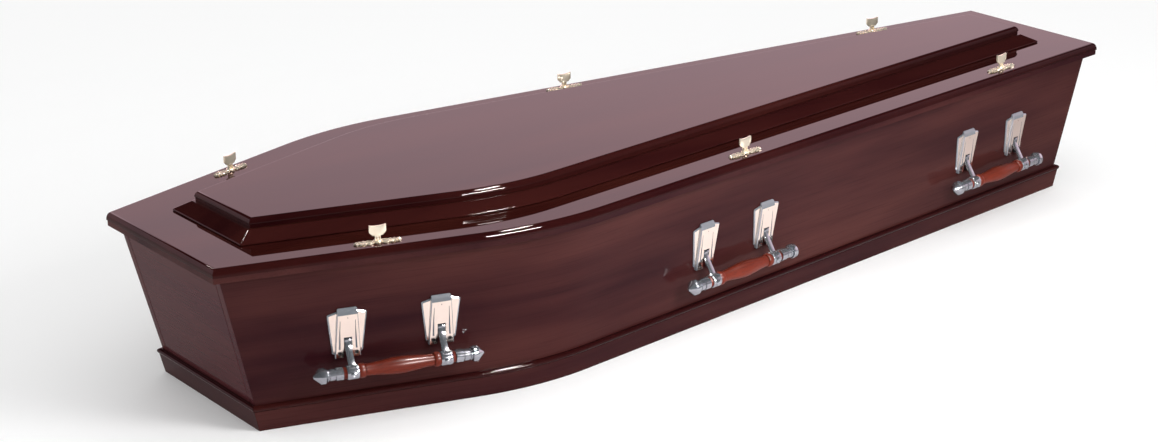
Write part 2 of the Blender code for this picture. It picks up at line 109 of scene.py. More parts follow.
def pick(obj, mode, test):       # in edit mode, only the vertices or edges that pass stay selected
    bpy.ops.mesh.select_mode(type=mode)
    bpy.ops.mesh.select_all(action="DESELECT")
    mesh = bmesh.from_edit_mesh(obj.data)
    for item in mesh.verts if mode == "VERT" else mesh.edges:
        item.select_set(bool(test(item)))
    bmesh.update_edit_mesh(obj.data)


def startVertex(name, at):       # a plane collapsed to one vertex, to draw an outline from
    bpy.ops.object.select_all(action="DESELECT")
    bpy.ops.mesh.primitive_plane_add(size=0.01, location=(0, 0, 0))
    obj = bpy.context.active_object
    obj.name = name
    obj.data.name = name
    intoEdit(obj)
    bpy.ops.mesh.merge(type="CENTER")
    bpy.ops.transform.translate(value=at)
    return obj


def pull(step):                  # extrudes what is selected
    bpy.ops.mesh.extrude_region_move(TRANSFORM_OT_translate={"value": step})


def turn(angle, center, axis, steps):    # extrudes what is selected round an axis, right-handed
    bpy.ops.mesh.spin(steps=steps, angle=-angle, center=center, axis=axis)


def drawChain(name, points):     # a wire through points, left in edit mode with its end selected
    obj = startVertex(name, points[0])
    for before, after in zip(points, points[1:]):
        pull(Vector(after) - Vector(before))
    return obj


def drawFace(name, points):      # a flat face with these corners, left in edit mode
    obj = drawChain(name, points)
    bpy.ops.mesh.select_all(action="SELECT")
    bpy.ops.mesh.edge_face_add()
    bpy.ops.mesh.select_mode(type="FACE")
    return obj


def lookTowards(obj, direction):         # in edit mode, turns the one drawn face towards a direction
    mesh = bmesh.from_edit_mesh(obj.data)
    mesh.faces.ensure_lookup_table()
    if mesh.faces[0].normal.dot(direction) < 0:
        bpy.ops.mesh.flip_normals()


def cleanUp():                   # merges doubles and turns all faces out, in edit mode
    bpy.ops.mesh.select_mode(type="VERT")
    bpy.ops.mesh.select_all(action="SELECT")
    bpy.ops.mesh.remove_doubles(threshold=weld)
    bpy.ops.mesh.select_all(action="SELECT")
    bpy.ops.mesh.normals_make_consistent(inside=False)
    bpy.ops.object.mode_set(mode="OBJECT")


def cutOff(point, outward):      # in edit mode, removes what lies beyond a plane and closes the cut
    bpy.ops.mesh.select_all(action="SELECT")
    bpy.ops.mesh.bisect(plane_co=point, plane_no=outward.normalized(), use_fill=True, clear_outer=True,
                        threshold=weld)


def useModifier(obj, kind, **values):
    onlyThis(obj)
    modifier = obj.modifiers.new(kind.title(), kind)
    for key, value in values.items():
        setattr(modifier, key, value)
    bpy.ops.object.modifier_apply(modifier=modifier.name)


def roundEdges(obj, width, segments=2, angle=35):
    useModifier(obj, "BEVEL", width=width, segments=segments, limit_method="ANGLE",
                angle_limit=radians(angle), use_clamp_overlap=True)


def smooth(obj, angle=40, weighted=True):
    onlyThis(obj)
    bpy.ops.object.shade_smooth_by_angle(angle=radians(angle), keep_sharp_edges=False)
    if weighted:
        useModifier(obj, "WEIGHTED_NORMAL", keep_sharp=True, weight=100)


def combine(obj, other, operation):      # Boolean with another object, which is used up
    useModifier(obj, "BOOLEAN", operation=operation, solver="EXACT", material_mode="TRANSFER", object=other)
    bpy.data.objects.remove(other, do_unlink=True)


def copyOf(obj, name):
    onlyThis(obj)
    bpy.ops.object.duplicate(linked=False)
    twin = bpy.context.active_object
    twin.name = name
    twin.data.name = name
    return twin


def bakePlace(obj):              # puts the object's place into its mesh
    onlyThis(obj)
    bpy.ops.object.transform_apply(location=True, rotation=True, scale=True)


def moveTo(obj, matrix):
    obj.matrix_world = matrix
    bpy.context.view_layer.update()
    bakePlace(obj)


def placed(obj, name, matrix):   # a copy at another place
    twin = copyOf(obj, name)
    moveTo(twin, matrix)
    return twin


def shiftMesh(obj, step):
    intoEdit(obj)
    bpy.ops.transform.translate(value=step)
    leaveEdit()


def acrossX(obj, name):          # the same piece on the other long side
    twin = copyOf(obj, name)
    intoEdit(twin)
    bpy.ops.transform.resize(value=(1, -1, 1), center_override=(0, 0, 0))
    cleanUp()
    return twin


def removePieces(*pieces):
    for piece in pieces:
        bpy.data.objects.remove(piece, do_unlink=True)


def setMaterials(obj, *materials):
    obj.data.materials.clear()
    for material in materials:
        obj.data.materials.append(material)


def finishPiece(obj, body, slotName, *nodes):
    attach(obj, body)
    if nodes:
        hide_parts(*nodes)


# Plan geometry, on the near side (-Y)

def sidePlan():
    head = Vector((-plan["length"] / 2, -plan["headHalf"], 0))
    shoulder = Vector((plan["shoulderFromHead"] - plan["length"] / 2, -plan["shoulderHalf"], 0))
    foot = Vector((plan["length"] / 2, -plan["footHalf"], 0))
    headRun = (shoulder - head).normalized()
    footRun = (foot - shoulder).normalized()
    headOut = headRun.cross(zUp)
    footOut = footRun.cross(zUp)
    bend = headRun.angle(footRun)
    reach = plan["shoulderRadius"] * tan(bend / 2)
    center = shoulder - headRun * reach - headOut * plan["shoulderRadius"]
    return {"head": head, "shoulder": shoulder, "foot": foot, "headRun": headRun, "footRun": footRun,
            "headOut": headOut, "footOut": footOut, "bend": bend, "reach": reach, "center": center}


side = sidePlan()


def planCorner(inset, end, endInset):        # corner of the near side with the head or foot line
    if end == "head":
        point = side["head"] - side["headOut"] * inset
        run = side["headRun"]
        x = -plan["length"] / 2 + endInset
    else:
        point = side["foot"] - side["footOut"] * inset
        run = side["footRun"]
        x = plan["length"] / 2 - endInset
    return point + run * ((x - point.x) / run.x)


def arcStart(inset):
    return side["shoulder"] - side["headRun"] * side["reach"] - side["headOut"] * inset


def arcEnd(inset):
    return side["shoulder"] + side["footRun"] * side["reach"] - side["footOut"] * inset


def sideInset(z):
    return box["underLid"] + box["sideRake"] * (box["height"] - z)


def headInset(z):
    return box["underLid"] + box["headRake"] * (box["height"] - z)


def footInset(z):
    return box["underLid"] + box["footRake"] * (box["height"] - z)


def boxCorner(end, depth, z):                # outer corner of the box, at a depth outside its faces
    endInset = headInset(z) if end == "head" else footInset(z)
    corner = planCorner(sideInset(z) - depth, end, endInset - depth)
    return corner + zUp * z


def sweepSide(name, profile):
    start = side["head"] - side["headRun"] * plan["runOut"]
    points = [start - side["headOut"] * inset + zUp * z for inset, z in profile]
    obj = drawFace(name, points)
    pull(arcStart(0) - start)
    turn(side["bend"], side["center"], zUp, plan["arcSteps"])
    pull(side["foot"] - arcEnd(0) + side["footRun"] * plan["runOut"])
    bpy.ops.mesh.select_mode(type="VERT")
    return obj


def planFace(name, inset, z):                # the whole outline of the lid at an inset, as one face
    headCorner = planCorner(inset, "head", inset)
    footCorner = planCorner(inset, "foot", inset)
    lift = zUp * z
    obj = drawChain(name, [headCorner + lift, arcStart(inset) + lift])
    turn(side["bend"], side["center"] + lift, zUp, plan["arcSteps"])
    pull(footCorner - arcEnd(inset))
    pull(footCorner * farSide - footCorner)
    pull((arcEnd(inset) - footCorner) * farSide)
    turn(side["bend"], side["center"] * farSide + lift, zUp, plan["arcSteps"])
    pull((headCorner - arcStart(inset)) * farSide)
    bpy.ops.mesh.select_all(action="SELECT")
    bpy.ops.mesh.remove_doubles(threshold=weld)
    bpy.ops.mesh.select_all(action="SELECT")
    bpy.ops.mesh.edge_face_add()
    bpy.ops.mesh.select_mode(type="FACE")
    lookTowards(obj, zUp)
    return obj


# Wood that follows the piece

def storeGrain(obj, values):
    grain = obj.data.attributes.new("grain", "FLOAT_VECTOR", "POINT")
    grain.data.foreach_set("vector", values)


def giveGrain(obj, kind, start):             # stores where each point lies along, across and over its board
    headLength = (arcStart(0) - side["head"]).length
    arcLength = side["bend"] * plan["shoulderRadius"]
    values = []
    for vert in obj.data.vertices:
        p = vert.co
        if kind == "end":
            values += [p.y + start, p.x, p.z]
            continue
        if kind == "top":
            values += [p.x + start, p.y, p.z]
            continue
        near = Vector((p.x, -abs(p.y), 0))
        fromHead = (near - side["head"]).dot(side["headRun"])
        fromBend = (near - arcEnd(0)).dot(side["footRun"])
        if fromHead < headLength:
            along, depth = fromHead, (near - side["head"]).dot(side["headOut"])
        elif fromBend > 0:
            along, depth = headLength + arcLength + fromBend, (near - side["foot"]).dot(side["footOut"])
        else:
            spoke = near - side["center"]
            along = headLength + side["headOut"].angle(spoke) * plan["shoulderRadius"]
            depth = spoke.length - plan["shoulderRadius"]
        values += [along + start, depth, p.z]
    storeGrain(obj, values)


# Box

def sideBoard():
    high = box["height"]
    profile = [(sideInset(0), 0), (sideInset(high), high),
               (sideInset(high) + box["board"], high), (sideInset(0) + box["board"], 0)]
    board = sweepSide("left_side_board", profile)
    cutOff(boxCorner("head", 0, high), Vector((-1, 0, -box["headRake"])))
    cutOff(boxCorner("foot", 0, high), Vector((1, 0, -box["footRake"])))
    cleanUp()
    roundEdges(board, box["corner"], box["bevelSteps"])
    smooth(board)
    return board


def endBoard(name):
    board = copyOf(frame["nodes"][name], name + "_finished")
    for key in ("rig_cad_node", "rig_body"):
        if key in board:
            del board[key]
    board.parent = None
    intoEdit(board)
    bpy.ops.mesh.remove_doubles(threshold=weld)
    bpy.ops.mesh.select_all(action="SELECT")
    bpy.ops.mesh.dissolve_limited(angle_limit=radians(0.5))
    leaveEdit()
    roundEdges(board, box["corner"], box["bevelSteps"])
    smooth(board)
    return board


plinth = {
    "depth": 0.0068,
    "faceHeight": 0.0355,
    "beadDepth": 0.0088,
    "beadHeight": 0.0095,
    "beadSteps": 12,
    "quirk": 0.0007,     # the fine groove under the bead
    "corner": 0.0006,
    "overrun": 0.05,     # spare length of an end strip, cut off at the mitres
}


def plinthProfile():
    half = plinth["beadHeight"] / 2
    points = [(gap, 0), (plinth["depth"], 0), (plinth["depth"], plinth["faceHeight"] - plinth["quirk"]),
              (plinth["depth"] - plinth["quirk"], plinth["faceHeight"])]
    for k in range(plinth["beadSteps"] + 1):
        angle = pi * (k / plinth["beadSteps"] - 0.5)
        back = plinth["depth"] - plinth["quirk"] * 0.5 if angle < 0 else gap
        depth = back + (plinth["beadDepth"] - back) * cos(angle)
        points.append((depth, plinth["faceHeight"] + half * (1 + sin(angle))))
    return points


def mitrePlane(end):                         # a point of the mitre between a side and an end, and its normal
    corner = boxCorner(end, 0, 0)
    across = boxCorner(end, 0.01, 0) - corner
    upwards = boxCorner(end, 0, 0.04) - corner
    return corner, across.cross(upwards).normalized()


def finishStrip(strip):
    cleanUp()
    roundEdges(strip, plinth["corner"], 2, 50)
    smooth(strip, 35)
    return strip


def plinthSide():
    profile = [(sideInset(z) - depth, z) for depth, z in plinthProfile()]
    strip = sweepSide("left_plinth_moulding", profile)
    for end, ahead in endHands.items():
        point, normal = mitrePlane(end)
        if normal.x * ahead < 0:
            normal = -normal
        cutOff(point - normal * gap / 2, normal)
    return finishStrip(strip)


def plinthEnd(end):
    start = boxCorner(end, 0, 0).y - plinth["overrun"]
    points = [Vector((boxCorner(end, depth, z).x, start, z)) for depth, z in plinthProfile()]
    strip = drawFace(end + "_plinth_moulding", points)
    pull((0, -2 * start, 0))
    bpy.ops.mesh.select_mode(type="VERT")
    point, normal = mitrePlane(end)
    if normal.y > 0:
        normal = -normal
    cutOff(point - normal * gap / 2, normal)
    cutOff((point - normal * gap / 2) * farSide, normal * farSide)
    return finishStrip(strip)


# Lid

lid = {
    "thickness": 0.024,
    "nose": 0.008,       # how far the rounded nose stands out past the top edge
    "noseDrop": 0.014,
    "undercut": 0.0015,  # the plain edge under the nose sits this far in
    "noseSteps": 10,
}
riser = {
    "inset": 0.080,
    "edge": 0.003,
    "topInset": 0.106,
    "height": 0.0165,
    "rounding": 0.0015,
}
panel = {
    "inset": 0.118,
    "height": 0.016,
    "nose": 0.008,
    "noseDrop": 0.0095,
    "undercut": 0.0012,
    "noseSteps": 10,
}
lidBottom = box["height"] + gap
lidTop = lidBottom + lid["thickness"]
riserBottom = lidTop + gap
panelBottom = riserBottom + riser["height"] + gap


def stepIn(inset, rise):                     # next ring of the face that is selected
    bpy.ops.mesh.inset(thickness=max(inset, 0), depth=rise, use_even_offset=True)


def noseRings(reach, drop, steps):           # (step in, rise) pairs up a rounded nose
    rings = []
    for k in range(steps):
        a = pi / 2 * k / steps
        b = pi / 2 * (k + 1) / steps
        rings.append((reach * (cos(a) - cos(b)), drop * (sin(b) - sin(a))))
    return rings


def roundedBoard(name, sizes, wide, bottom, top):      # a board of the lid's plan with a rounded nose
    lower = top - sizes["noseDrop"]
    overlap = 0.001                          # of the plain edge with the nose, so that they join
    board = planFace(name, wide + sizes["undercut"], bottom)
    pull((0, 0, lower - bottom + overlap))
    leaveEdit()
    rim = planFace("rim", wide, lower)
    pull((0, 0, gap))
    rings = noseRings(sizes["nose"], sizes["noseDrop"], sizes["noseSteps"])
    rings[0] = (rings[0][0], rings[0][1] - gap)
    for inset, rise in rings:
        stepIn(inset, rise)
    leaveEdit()
    combine(board, rim, "UNION")
    return board


def lidBoard():
    board = roundedBoard("lid_board_finished", lid, -lid["nose"], lidBottom, lidTop)
    smooth(board, 30)
    return board


def lidRiser():
    board = planFace("lid_riser_finished", riser["inset"], riserBottom)
    pull((0, 0, riser["edge"]))
    stepIn(riser["topInset"] - riser["inset"], riser["height"] - riser["edge"])
    leaveEdit()
    roundEdges(board, riser["rounding"], 3, 12)
    smooth(board, 30)
    return board


def topPanel():
    board = roundedBoard("lid_top_panel_finished", panel, panel["inset"] - panel["nose"], panelBottom,
                         panelBottom + panel["height"])
    smooth(board, 30)
    return board


# Handle, modelled once: X along the side, -Y outwards, Z up, origin on the hinge line of the arms

handle = {
    "pivotDepth": 0.0045,    # hinge line to the face of the board
    "armSpacing": 0.156,
    "barOut": 0.0255,
    "barDrop": 0.0450,
    "turnSteps": 40,         # facets round a turned piece
    "roundSteps": 28,        # and round a small one
}
bar = {
    "middle": 0.0140,
    "neck": 0.0098,
    "bead": 0.0122,
    "beadEdge": 0.0110,
    "beadLength": 0.0100,
    "quirk": 0.0015,
    "quirkDepth": 0.0009,
    "spacer": 0.0092,
    "spacerLength": 0.0055,
    "bellySteps": 16,
    "beadSteps": 8,
}
collar = {
    "radius": 0.0122,
    "rounding": 0.0016,
    "width": 0.0200,
    "rimSteps": 4,
    "bossRadius": 0.0056,
    "bossHeight": 0.0030,
    "bossSunk": 0.0030,
    "bossEdge": 0.30,        # share of its height that is straight
    "bossRise": 0.42,        # share where the dome starts
    "bossSteps": 6,
    "dimpleRadius": 0.0021,
    "dimpleDepth": 0.0008,
}
barMiddle = Vector((0, -handle["barOut"], -handle["barDrop"]))


def lathe(name, points, center, axis, steps):          # turns a wire right round an axis
    obj = drawChain(name, points)
    bpy.ops.mesh.select_all(action="SELECT")
    turn(2 * pi, center, axis, steps)
    cleanUp()
    return obj


def barProfile():
    inner = handle["armSpacing"] / 2 - collar["width"] / 2 - gap
    outer = handle["armSpacing"] / 2 + collar["width"] / 2 + bar["spacerLength"]
    belly = inner - bar["beadLength"] - bar["quirk"]
    edge = bar["quirk"] / 2
    half = [(outer, 0), (outer, bar["spacer"] - edge), (outer - edge, bar["spacer"]), (inner, bar["spacer"])]
    for k in range(bar["beadSteps"] + 1):
        t = k / bar["beadSteps"]
        swell = sqrt(sin(pi * t)) if 0 < t < 1 else 0
        radius = bar["beadEdge"] + (bar["bead"] - bar["beadEdge"]) * swell
        half.append((inner - bar["beadLength"] * t, radius))
    half.append((inner - bar["beadLength"] - edge * 0.4, bar["neck"] - bar["quirkDepth"]))
    half.append((belly + edge * 0.4, bar["neck"] - bar["quirkDepth"]))
    for k in range(bar["bellySteps"]):
        t = k / bar["bellySteps"]
        half.append((belly * (1 - t), bar["neck"] + (bar["middle"] - bar["neck"]) * (1 - cos(pi * t)) / 2))
    return half + [(0, bar["middle"])] + [(-x, r) for x, r in half[::-1]]


def turnedBar():
    points = [Vector((x, -r, 0)) for x, r in barProfile()]
    obj = lathe("bar", points, (0, 0, 0), xAxis, handle["turnSteps"])
    shiftMesh(obj, barMiddle)
    smooth(obj, 50, False)
    storeGrain(obj, [number for vert in obj.data.vertices for number in vert.co])
    return obj


cap = {
    "ringRadius": 0.0108, "ringLength": 0.0124,
    "grooveRadius": 0.0084, "grooveLength": 0.0014,
    "neckRadius": 0.0098, "neckLength": 0.0090,
    "beadRadius": 0.0106, "beadLength": 0.0030,
    "headRadius": 0.0132, "headLength": 0.0094,
    "domeRadius": 0.0126, "tipRadius": 0.0034,
    "coneLength": 0.0088, "tipLength": 0.0018,
    "edge": 0.0005, "beadSteps": 6, "tipSteps": 5,
}


def capProfile():                # (x, radius) pairs from the open end to the tip
    edge = cap["edge"]
    points = [(0, 0), (0, cap["ringRadius"] - edge), (edge, cap["ringRadius"])]
    x = cap["ringLength"]
    points += [(x - edge, cap["ringRadius"]), (x, cap["ringRadius"] - edge), (x, cap["grooveRadius"])]
    x += cap["grooveLength"]
    points += [(x, cap["grooveRadius"]), (x + edge, cap["neckRadius"])]
    x += cap["neckLength"]
    points += [(x - edge, cap["neckRadius"]), (x, cap["grooveRadius"])]
    for k in range(cap["beadSteps"] + 1):
        t = k / cap["beadSteps"]
        swell = (cap["beadRadius"] - cap["grooveRadius"]) * sqrt(max(sin(pi * t), 0))
        points.append((x + cap["grooveLength"] + cap["beadLength"] * t, cap["grooveRadius"] + swell))
    x += cap["grooveLength"] * 2 + cap["beadLength"]
    points += [(x, cap["grooveRadius"]), (x, cap["headRadius"] - edge * 2), (x + edge * 2, cap["headRadius"])]
    x += cap["headLength"]
    points += [(x - edge * 2, cap["headRadius"]), (x, cap["domeRadius"])]
    x += cap["coneLength"]
    for k in range(cap["tipSteps"] + 1):
        a = pi / 2 * k / cap["tipSteps"]
        points.append((x + cap["tipLength"] * sin(a), cap["tipRadius"] * cos(a)))
    return points


def endCap():                    # points along +X from the middle of the bar's end
    points = [Vector((x, -r, 0)) for x, r in capProfile()]
    obj = lathe("cap", points, (0, 0, 0), xAxis, handle["turnSteps"])
    smooth(obj, 40, False)
    return obj


strap = {
    "width": 0.0112,
    "thickness": 0.0032,
    "steps": 14,
    "corner": 0.0004,
    "knuckleRadius": 0.0036,
    "knuckleWidth": 0.0126,
}


def strapOutline():              # the bent strap from the side: y outwards is negative, z down
    spine = []
    for k in range(strap["steps"] + 1):
        t = k / strap["steps"]
        spine.append(Vector((0, -handle["barOut"] * (3 * t * t - 2 * t ** 3), -handle["barDrop"] * t)))
    outer = []
    inner = []
    for k, point in enumerate(spine):
        run = (spine[min(k + 1, strap["steps"])] - spine[max(k - 1, 0)]).normalized()
        across = run.cross(xAxis) * strap["thickness"] / 2
        outer.append(point + across)
        inner.append(point - across)
    return outer + inner[::-1]


def barrel(name, radius, width, segments, rounding):    # a short rod along X with rounded ends
    bpy.ops.object.select_all(action="DESELECT")
    bpy.ops.mesh.primitive_cylinder_add(vertices=segments, radius=radius, depth=width,
                                        location=(0, 0, 0), rotation=(0, pi / 2, 0))
    obj = bpy.context.active_object
    obj.name = name
    bakePlace(obj)
    roundEdges(obj, rounding, 2, 60)
    return obj


def collarRing():
    half = collar["width"] / 2
    bore = bar["spacer"] + gap
    points = [Vector((-half, bore, 0)), Vector((-half, collar["radius"] - collar["rounding"], 0))]
    for k in range(1, collar["rimSteps"] + 1):
        a = pi / 2 * k / collar["rimSteps"]
        r = collar["radius"] - collar["rounding"] * (1 - sin(a))
        points.append(Vector((-half + collar["rounding"] * 2 * (1 - cos(a)), r, 0)))
    points += [Vector((-p.x, p.y, 0)) for p in points[::-1]]
    points = [Vector((p.x, -p.y, 0)) for p in points] + [Vector((-half, -bore, 0))]
    obj = lathe("collar", points, (0, 0, 0), xAxis, handle["turnSteps"])
    shiftMesh(obj, barMiddle)
    return obj


def collarBoss():
    face = -handle["barOut"] - collar["radius"]
    sunk, rim, high, rise = (collar[key] for key in ("bossSunk", "bossRadius", "bossHeight", "bossRise"))
    points = [(0, -sunk), (rim, -sunk), (rim, high * collar["bossEdge"]), (rim * 0.93, high * rise)]
    for k in range(1, collar["bossSteps"]):
        a = pi / 2 * k / collar["bossSteps"]
        points.append((rim * 0.86 * cos(a) + 0.0004, high * (rise + (1 - rise) * sin(a))))
    dimple = collar["dimpleDepth"]
    points += [(collar["dimpleRadius"] * 0.5, high - dimple * 0.6), (0, high - dimple)]
    wire = [Vector((r, face - h, -handle["barDrop"])) for r, h in points]
    return lathe("boss", wire, (0, face, -handle["barDrop"]), Vector((0, 1, 0)), handle["roundSteps"])


def handleArm():
    arm = drawFace("arm", [p - xAxis * strap["width"] / 2 for p in strapOutline()])
    pull((strap["width"], 0, 0))
    cleanUp()
    roundEdges(arm, strap["corner"], 2, 50)
    knuckle = barrel("knuckle", strap["knuckleRadius"], strap["knuckleWidth"], handle["roundSteps"],
                     strap["corner"])
    for part in (knuckle, collarBoss(), collarRing()):
        combine(arm, part, "UNION")
    bore = barrel("bore", bar["spacer"] + gap, collar["width"] * 2, handle["turnSteps"], gap)
    shiftMesh(bore, barMiddle)
    combine(arm, bore, "DIFFERENCE")
    smooth(arm, 35, False)
    return arm


plate = {
    "wingTop": 0.066, "wingBottom": 0.050, "wingHigh": 0.0505, "wingLow": -0.0245,
    "wingShoulder": 0.004, "wingThick": 0.003, "wingBevel": 0.0022, "wingSlope": 0.6, "wingCorner": 0.0030,
    "raisedTop": 0.033, "raisedBottom": 0.0425, "raisedHigh": 0.056, "raisedLow": -0.030,
    "raisedThick": 0.007, "raisedBevel": 0.0011, "raisedCorner": 0.0024,
    "capFace": 0.0455, "capBreak": 0.0512, "capBreakThick": 0.0050, "capEndThick": 0.0018,
    "slot": 0.0138, "slotTop": 0.006,
    "fluteTop": 0.036, "fluteBottom": -0.0150, "fluteTopFromMiddle": 0.0125,
    "fluteTopWidth": 0.0010, "fluteBottomWidth": 0.0042, "fluteDepth": 0.0024, "fluteFloor": 0.12,
    "screwFromMiddle": 0.0140, "screwHeight": -0.0222, "screwRadius": 0.0038, "screwDepth": 0.0032,
    "screwTaper": 0.55, "pinRadius": 0.0010, "pinHeight": 0.0405, "pinDepth": 0.0010, "pinTaper": 0.6,
    "cutOver": 0.0010,       # how far the cutters stand out of the front
}


def onPlate(a, b, thick):        # a along, b up, thick out from the board
    return Vector((a, handle["pivotDepth"] - thick, b))


def drawPlate(name, outline, thick):         # a face on the plate that looks out of the board
    obj = drawFace(name, [onPlate(a, b, thick) for a, b in outline])
    lookTowards(obj, Vector((0, -1, 0)))
    return obj


def roundCorners(obj, test, radius):
    pick(obj, "VERT", test)
    bpy.ops.mesh.bevel(offset=radius, offset_type="OFFSET", segments=4, affect="VERTICES", profile=0.5)
    bpy.ops.mesh.select_mode(type="FACE")
    bpy.ops.mesh.select_all(action="SELECT")


def frontAndShadedEdges(obj, front, edges):        # the bright nickel on what looks to the front, the darker copy on the rest: painted shade on bevels and sides
    setMaterials(obj, front, edges)
    for face in obj.data.polygons:
        face.material_index = 0 if face.normal.y < -0.98 else 1


def plateWings(nickel, nickelShade):
    top = plate["wingTop"] / 2
    bottom = plate["wingBottom"] / 2
    middle = plate["raisedTop"] / 2
    shoulder = plate["wingHigh"] - plate["wingShoulder"]
    outline = [(-bottom, plate["wingLow"]), (bottom, plate["wingLow"]), (top, shoulder),
               (middle, plate["wingHigh"]), (-middle, plate["wingHigh"]), (-top, shoulder)]
    wings = drawPlate("wings", outline, gap)
    roundCorners(wings, lambda v: abs(v.co.x) > middle + gap, plate["wingCorner"])
    pull((0, gap + plate["wingBevel"] * plate["wingSlope"] - plate["wingThick"], 0))
    stepIn(plate["wingBevel"], plate["wingBevel"] * plate["wingSlope"])
    cleanUp()
    frontAndShadedEdges(wings, nickel, nickelShade)
    return wings


def plateRaised(nickel, nickelShade):
    top = plate["raisedTop"] / 2
    bottom = plate["raisedBottom"] / 2
    outline = [(-bottom, plate["raisedLow"]), (bottom, plate["raisedLow"]),
               (top, plate["raisedHigh"]), (-top, plate["raisedHigh"])]
    raised = drawPlate("raised", outline, gap)
    roundCorners(raised, lambda v: v.co.z > 0, plate["raisedCorner"])
    pull((0, gap - plate["raisedThick"], 0))
    bpy.ops.mesh.select_mode(type="VERT")
    face = onPlate(0, plate["capFace"], plate["raisedThick"])
    ridge = onPlate(0, plate["capBreak"], plate["capBreakThick"])
    end = onPlate(0, plate["raisedHigh"], plate["capEndThick"])
    cutOff(face, xAxis.cross(ridge - face))
    cutOff(ridge, xAxis.cross(end - ridge))
    cleanUp()
    intoEdit(raised)
    front = handle["pivotDepth"] - plate["raisedThick"]
    pick(raised, "EDGE", lambda e: all(v.co.y < front + weld for v in e.verts)
         and abs((e.verts[0].co - e.verts[1].co).z) > 0.02)
    bpy.ops.mesh.bevel(offset=plate["raisedBevel"], segments=1, affect="EDGES")
    cleanUp()
    frontAndShadedEdges(raised, nickel, nickelShade)
    return raised


def plateFlute(hand, nickelShade):
    length = plate["fluteTop"] - plate["fluteBottom"]
    low = plate["fluteBottomWidth"] / 2
    high = plate["fluteTopWidth"] / 2
    front = plate["raisedThick"] + plate["cutOver"]
    flute = drawFace("flute", [onPlate(-low, 0, front), onPlate(low, 0, front),
                               onPlate(high, length, front), onPlate(-high, length, front)])
    pull((0, plate["fluteDepth"] + plate["cutOver"], 0))
    bpy.ops.transform.resize(value=(plate["fluteFloor"], 1, 1), center_override=(0, 0, 0))
    cleanUp()
    lean = atan((plate["screwFromMiddle"] - plate["fluteTopFromMiddle"]) / length)
    spot = Matrix.Translation((hand * plate["screwFromMiddle"], 0, plate["fluteBottom"]))
    moveTo(flute, spot @ Matrix.Rotation(-hand * lean, 4, "Y"))
    # the groove walls take the darker nickel copy: painted shade in the flute
    setMaterials(flute, nickelShade)
    return flute


def plateHole(kind, x, material):            # a round cutter from the front of the raised panel
    radius, depth, taper = (plate[kind + key] for key in ("Radius", "Depth", "Taper"))
    middle = plate["raisedThick"] + (plate["cutOver"] - depth) / 2
    bpy.ops.object.select_all(action="DESELECT")
    bpy.ops.mesh.primitive_cone_add(vertices=24, radius1=radius, radius2=radius * taper,
                                    depth=depth + plate["cutOver"],
                                    location=onPlate(x, plate[kind + "Height"], middle),
                                    rotation=(-pi / 2, 0, 0))
    hole = bpy.context.active_object
    hole.name = "hole"
    bakePlace(hole)
    setMaterials(hole, material)
    return hole


def backplate(nickel, nickelShade, dark):
    wings = plateWings(nickel, nickelShade)
    combine(wings, plateRaised(nickel, nickelShade), "UNION")
    below = plate["raisedLow"] - plate["raisedThick"]
    half = plate["slot"] / 2
    deep = plate["raisedThick"] * 2
    slot = drawFace("slot", [onPlate(-half, below, deep), onPlate(half, below, deep),
                             onPlate(half, plate["slotTop"], deep), onPlate(-half, plate["slotTop"], deep)])
    pull((0, deep * 2, 0))
    cleanUp()
    # the slot's walls become near-black: painted shade in the cavity
    setMaterials(slot, dark)
    combine(wings, slot, "DIFFERENCE")
    for hand in (-1, 1):
        combine(wings, plateFlute(hand, nickelShade), "DIFFERENCE")
        # the holes are lined near-black: dark screw heads in the screw holes, painted shade in the recesses
        combine(wings, plateHole("screw", hand * plate["screwFromMiddle"], dark), "DIFFERENCE")
    combine(wings, plateHole("pin", 0, dark), "DIFFERENCE")
    wings.name = "backplate"
    smooth(wings, 14, False)
    return wings


# Lid screw, modelled once: X along the side, Z up, origin on the lid

screw = {
    "length": 0.079, "width": 0.019, "base": 0.0034,
    "padRadius": 0.0078, "padHeight": 0.0042,
    "neckFrom": 0.0030, "neckWidth": 0.0095, "neckThick": 0.0048, "neckHeight": 0.0090,
    "slotWidth": 0.0017, "slotTall": 0.0062, "slotFromMiddle": 0.0022, "slotDrop": 0.0012,
    "thumbWidth": 0.028, "thumbHeight": 0.0175, "thumbThick": 0.0034, "chamfer": 0.0055,
    "dish": 0.0016, "dishSteps": 8, "edge": 0.0006,
}
leaves = {                       # where each leaf starts and ends along the rosette, its width and its height
    "arm": (0.004, 0.0385, 0.0052, 1.0),
    "tip": (0.031, screw["length"] / 2, 0.0056, 1.25),
    "middleWidth": 0.0070,
    "pairs": ((0.0212, 1.0, 0.0020, 0.0062),     # place, reach out of half the width, lean, width
              (0.0272, 0.88, 0.0026, 0.0056),
              (0.0325, 0.66, 0.0030, 0.0050)),
    "pairHeight": 1.1,
    "stagger": 0.00001,          # each underside is this much lower than the last, so none share a plane
}
loops = {
    "along": 0.0132, "across": 0.0042, "height": 0.0011,
    "long": 0.0056, "short": 0.0036, "thick": 0.0009,
}


def leafPlan():                  # root, tip, width and height of every leaf
    half = screw["width"] / 2
    plans = []
    for hand in (-1, 1):
        for key in ("arm", "tip"):
            start, end, wide, high = leaves[key]
            plans.append(((hand * start, 0), (hand * end, 0), wide, screw["base"] * high))
        for face in (-1, 1):
            for x, reach, lean, wide in leaves["pairs"]:
                plans.append(((hand * x, 0), (hand * (x + lean), face * half * reach), wide,
                              screw["base"] * leaves["pairHeight"]))
        plans.append(((0, 0), (0, hand * half), leaves["middleWidth"], screw["padHeight"] * 0.9))
    return plans


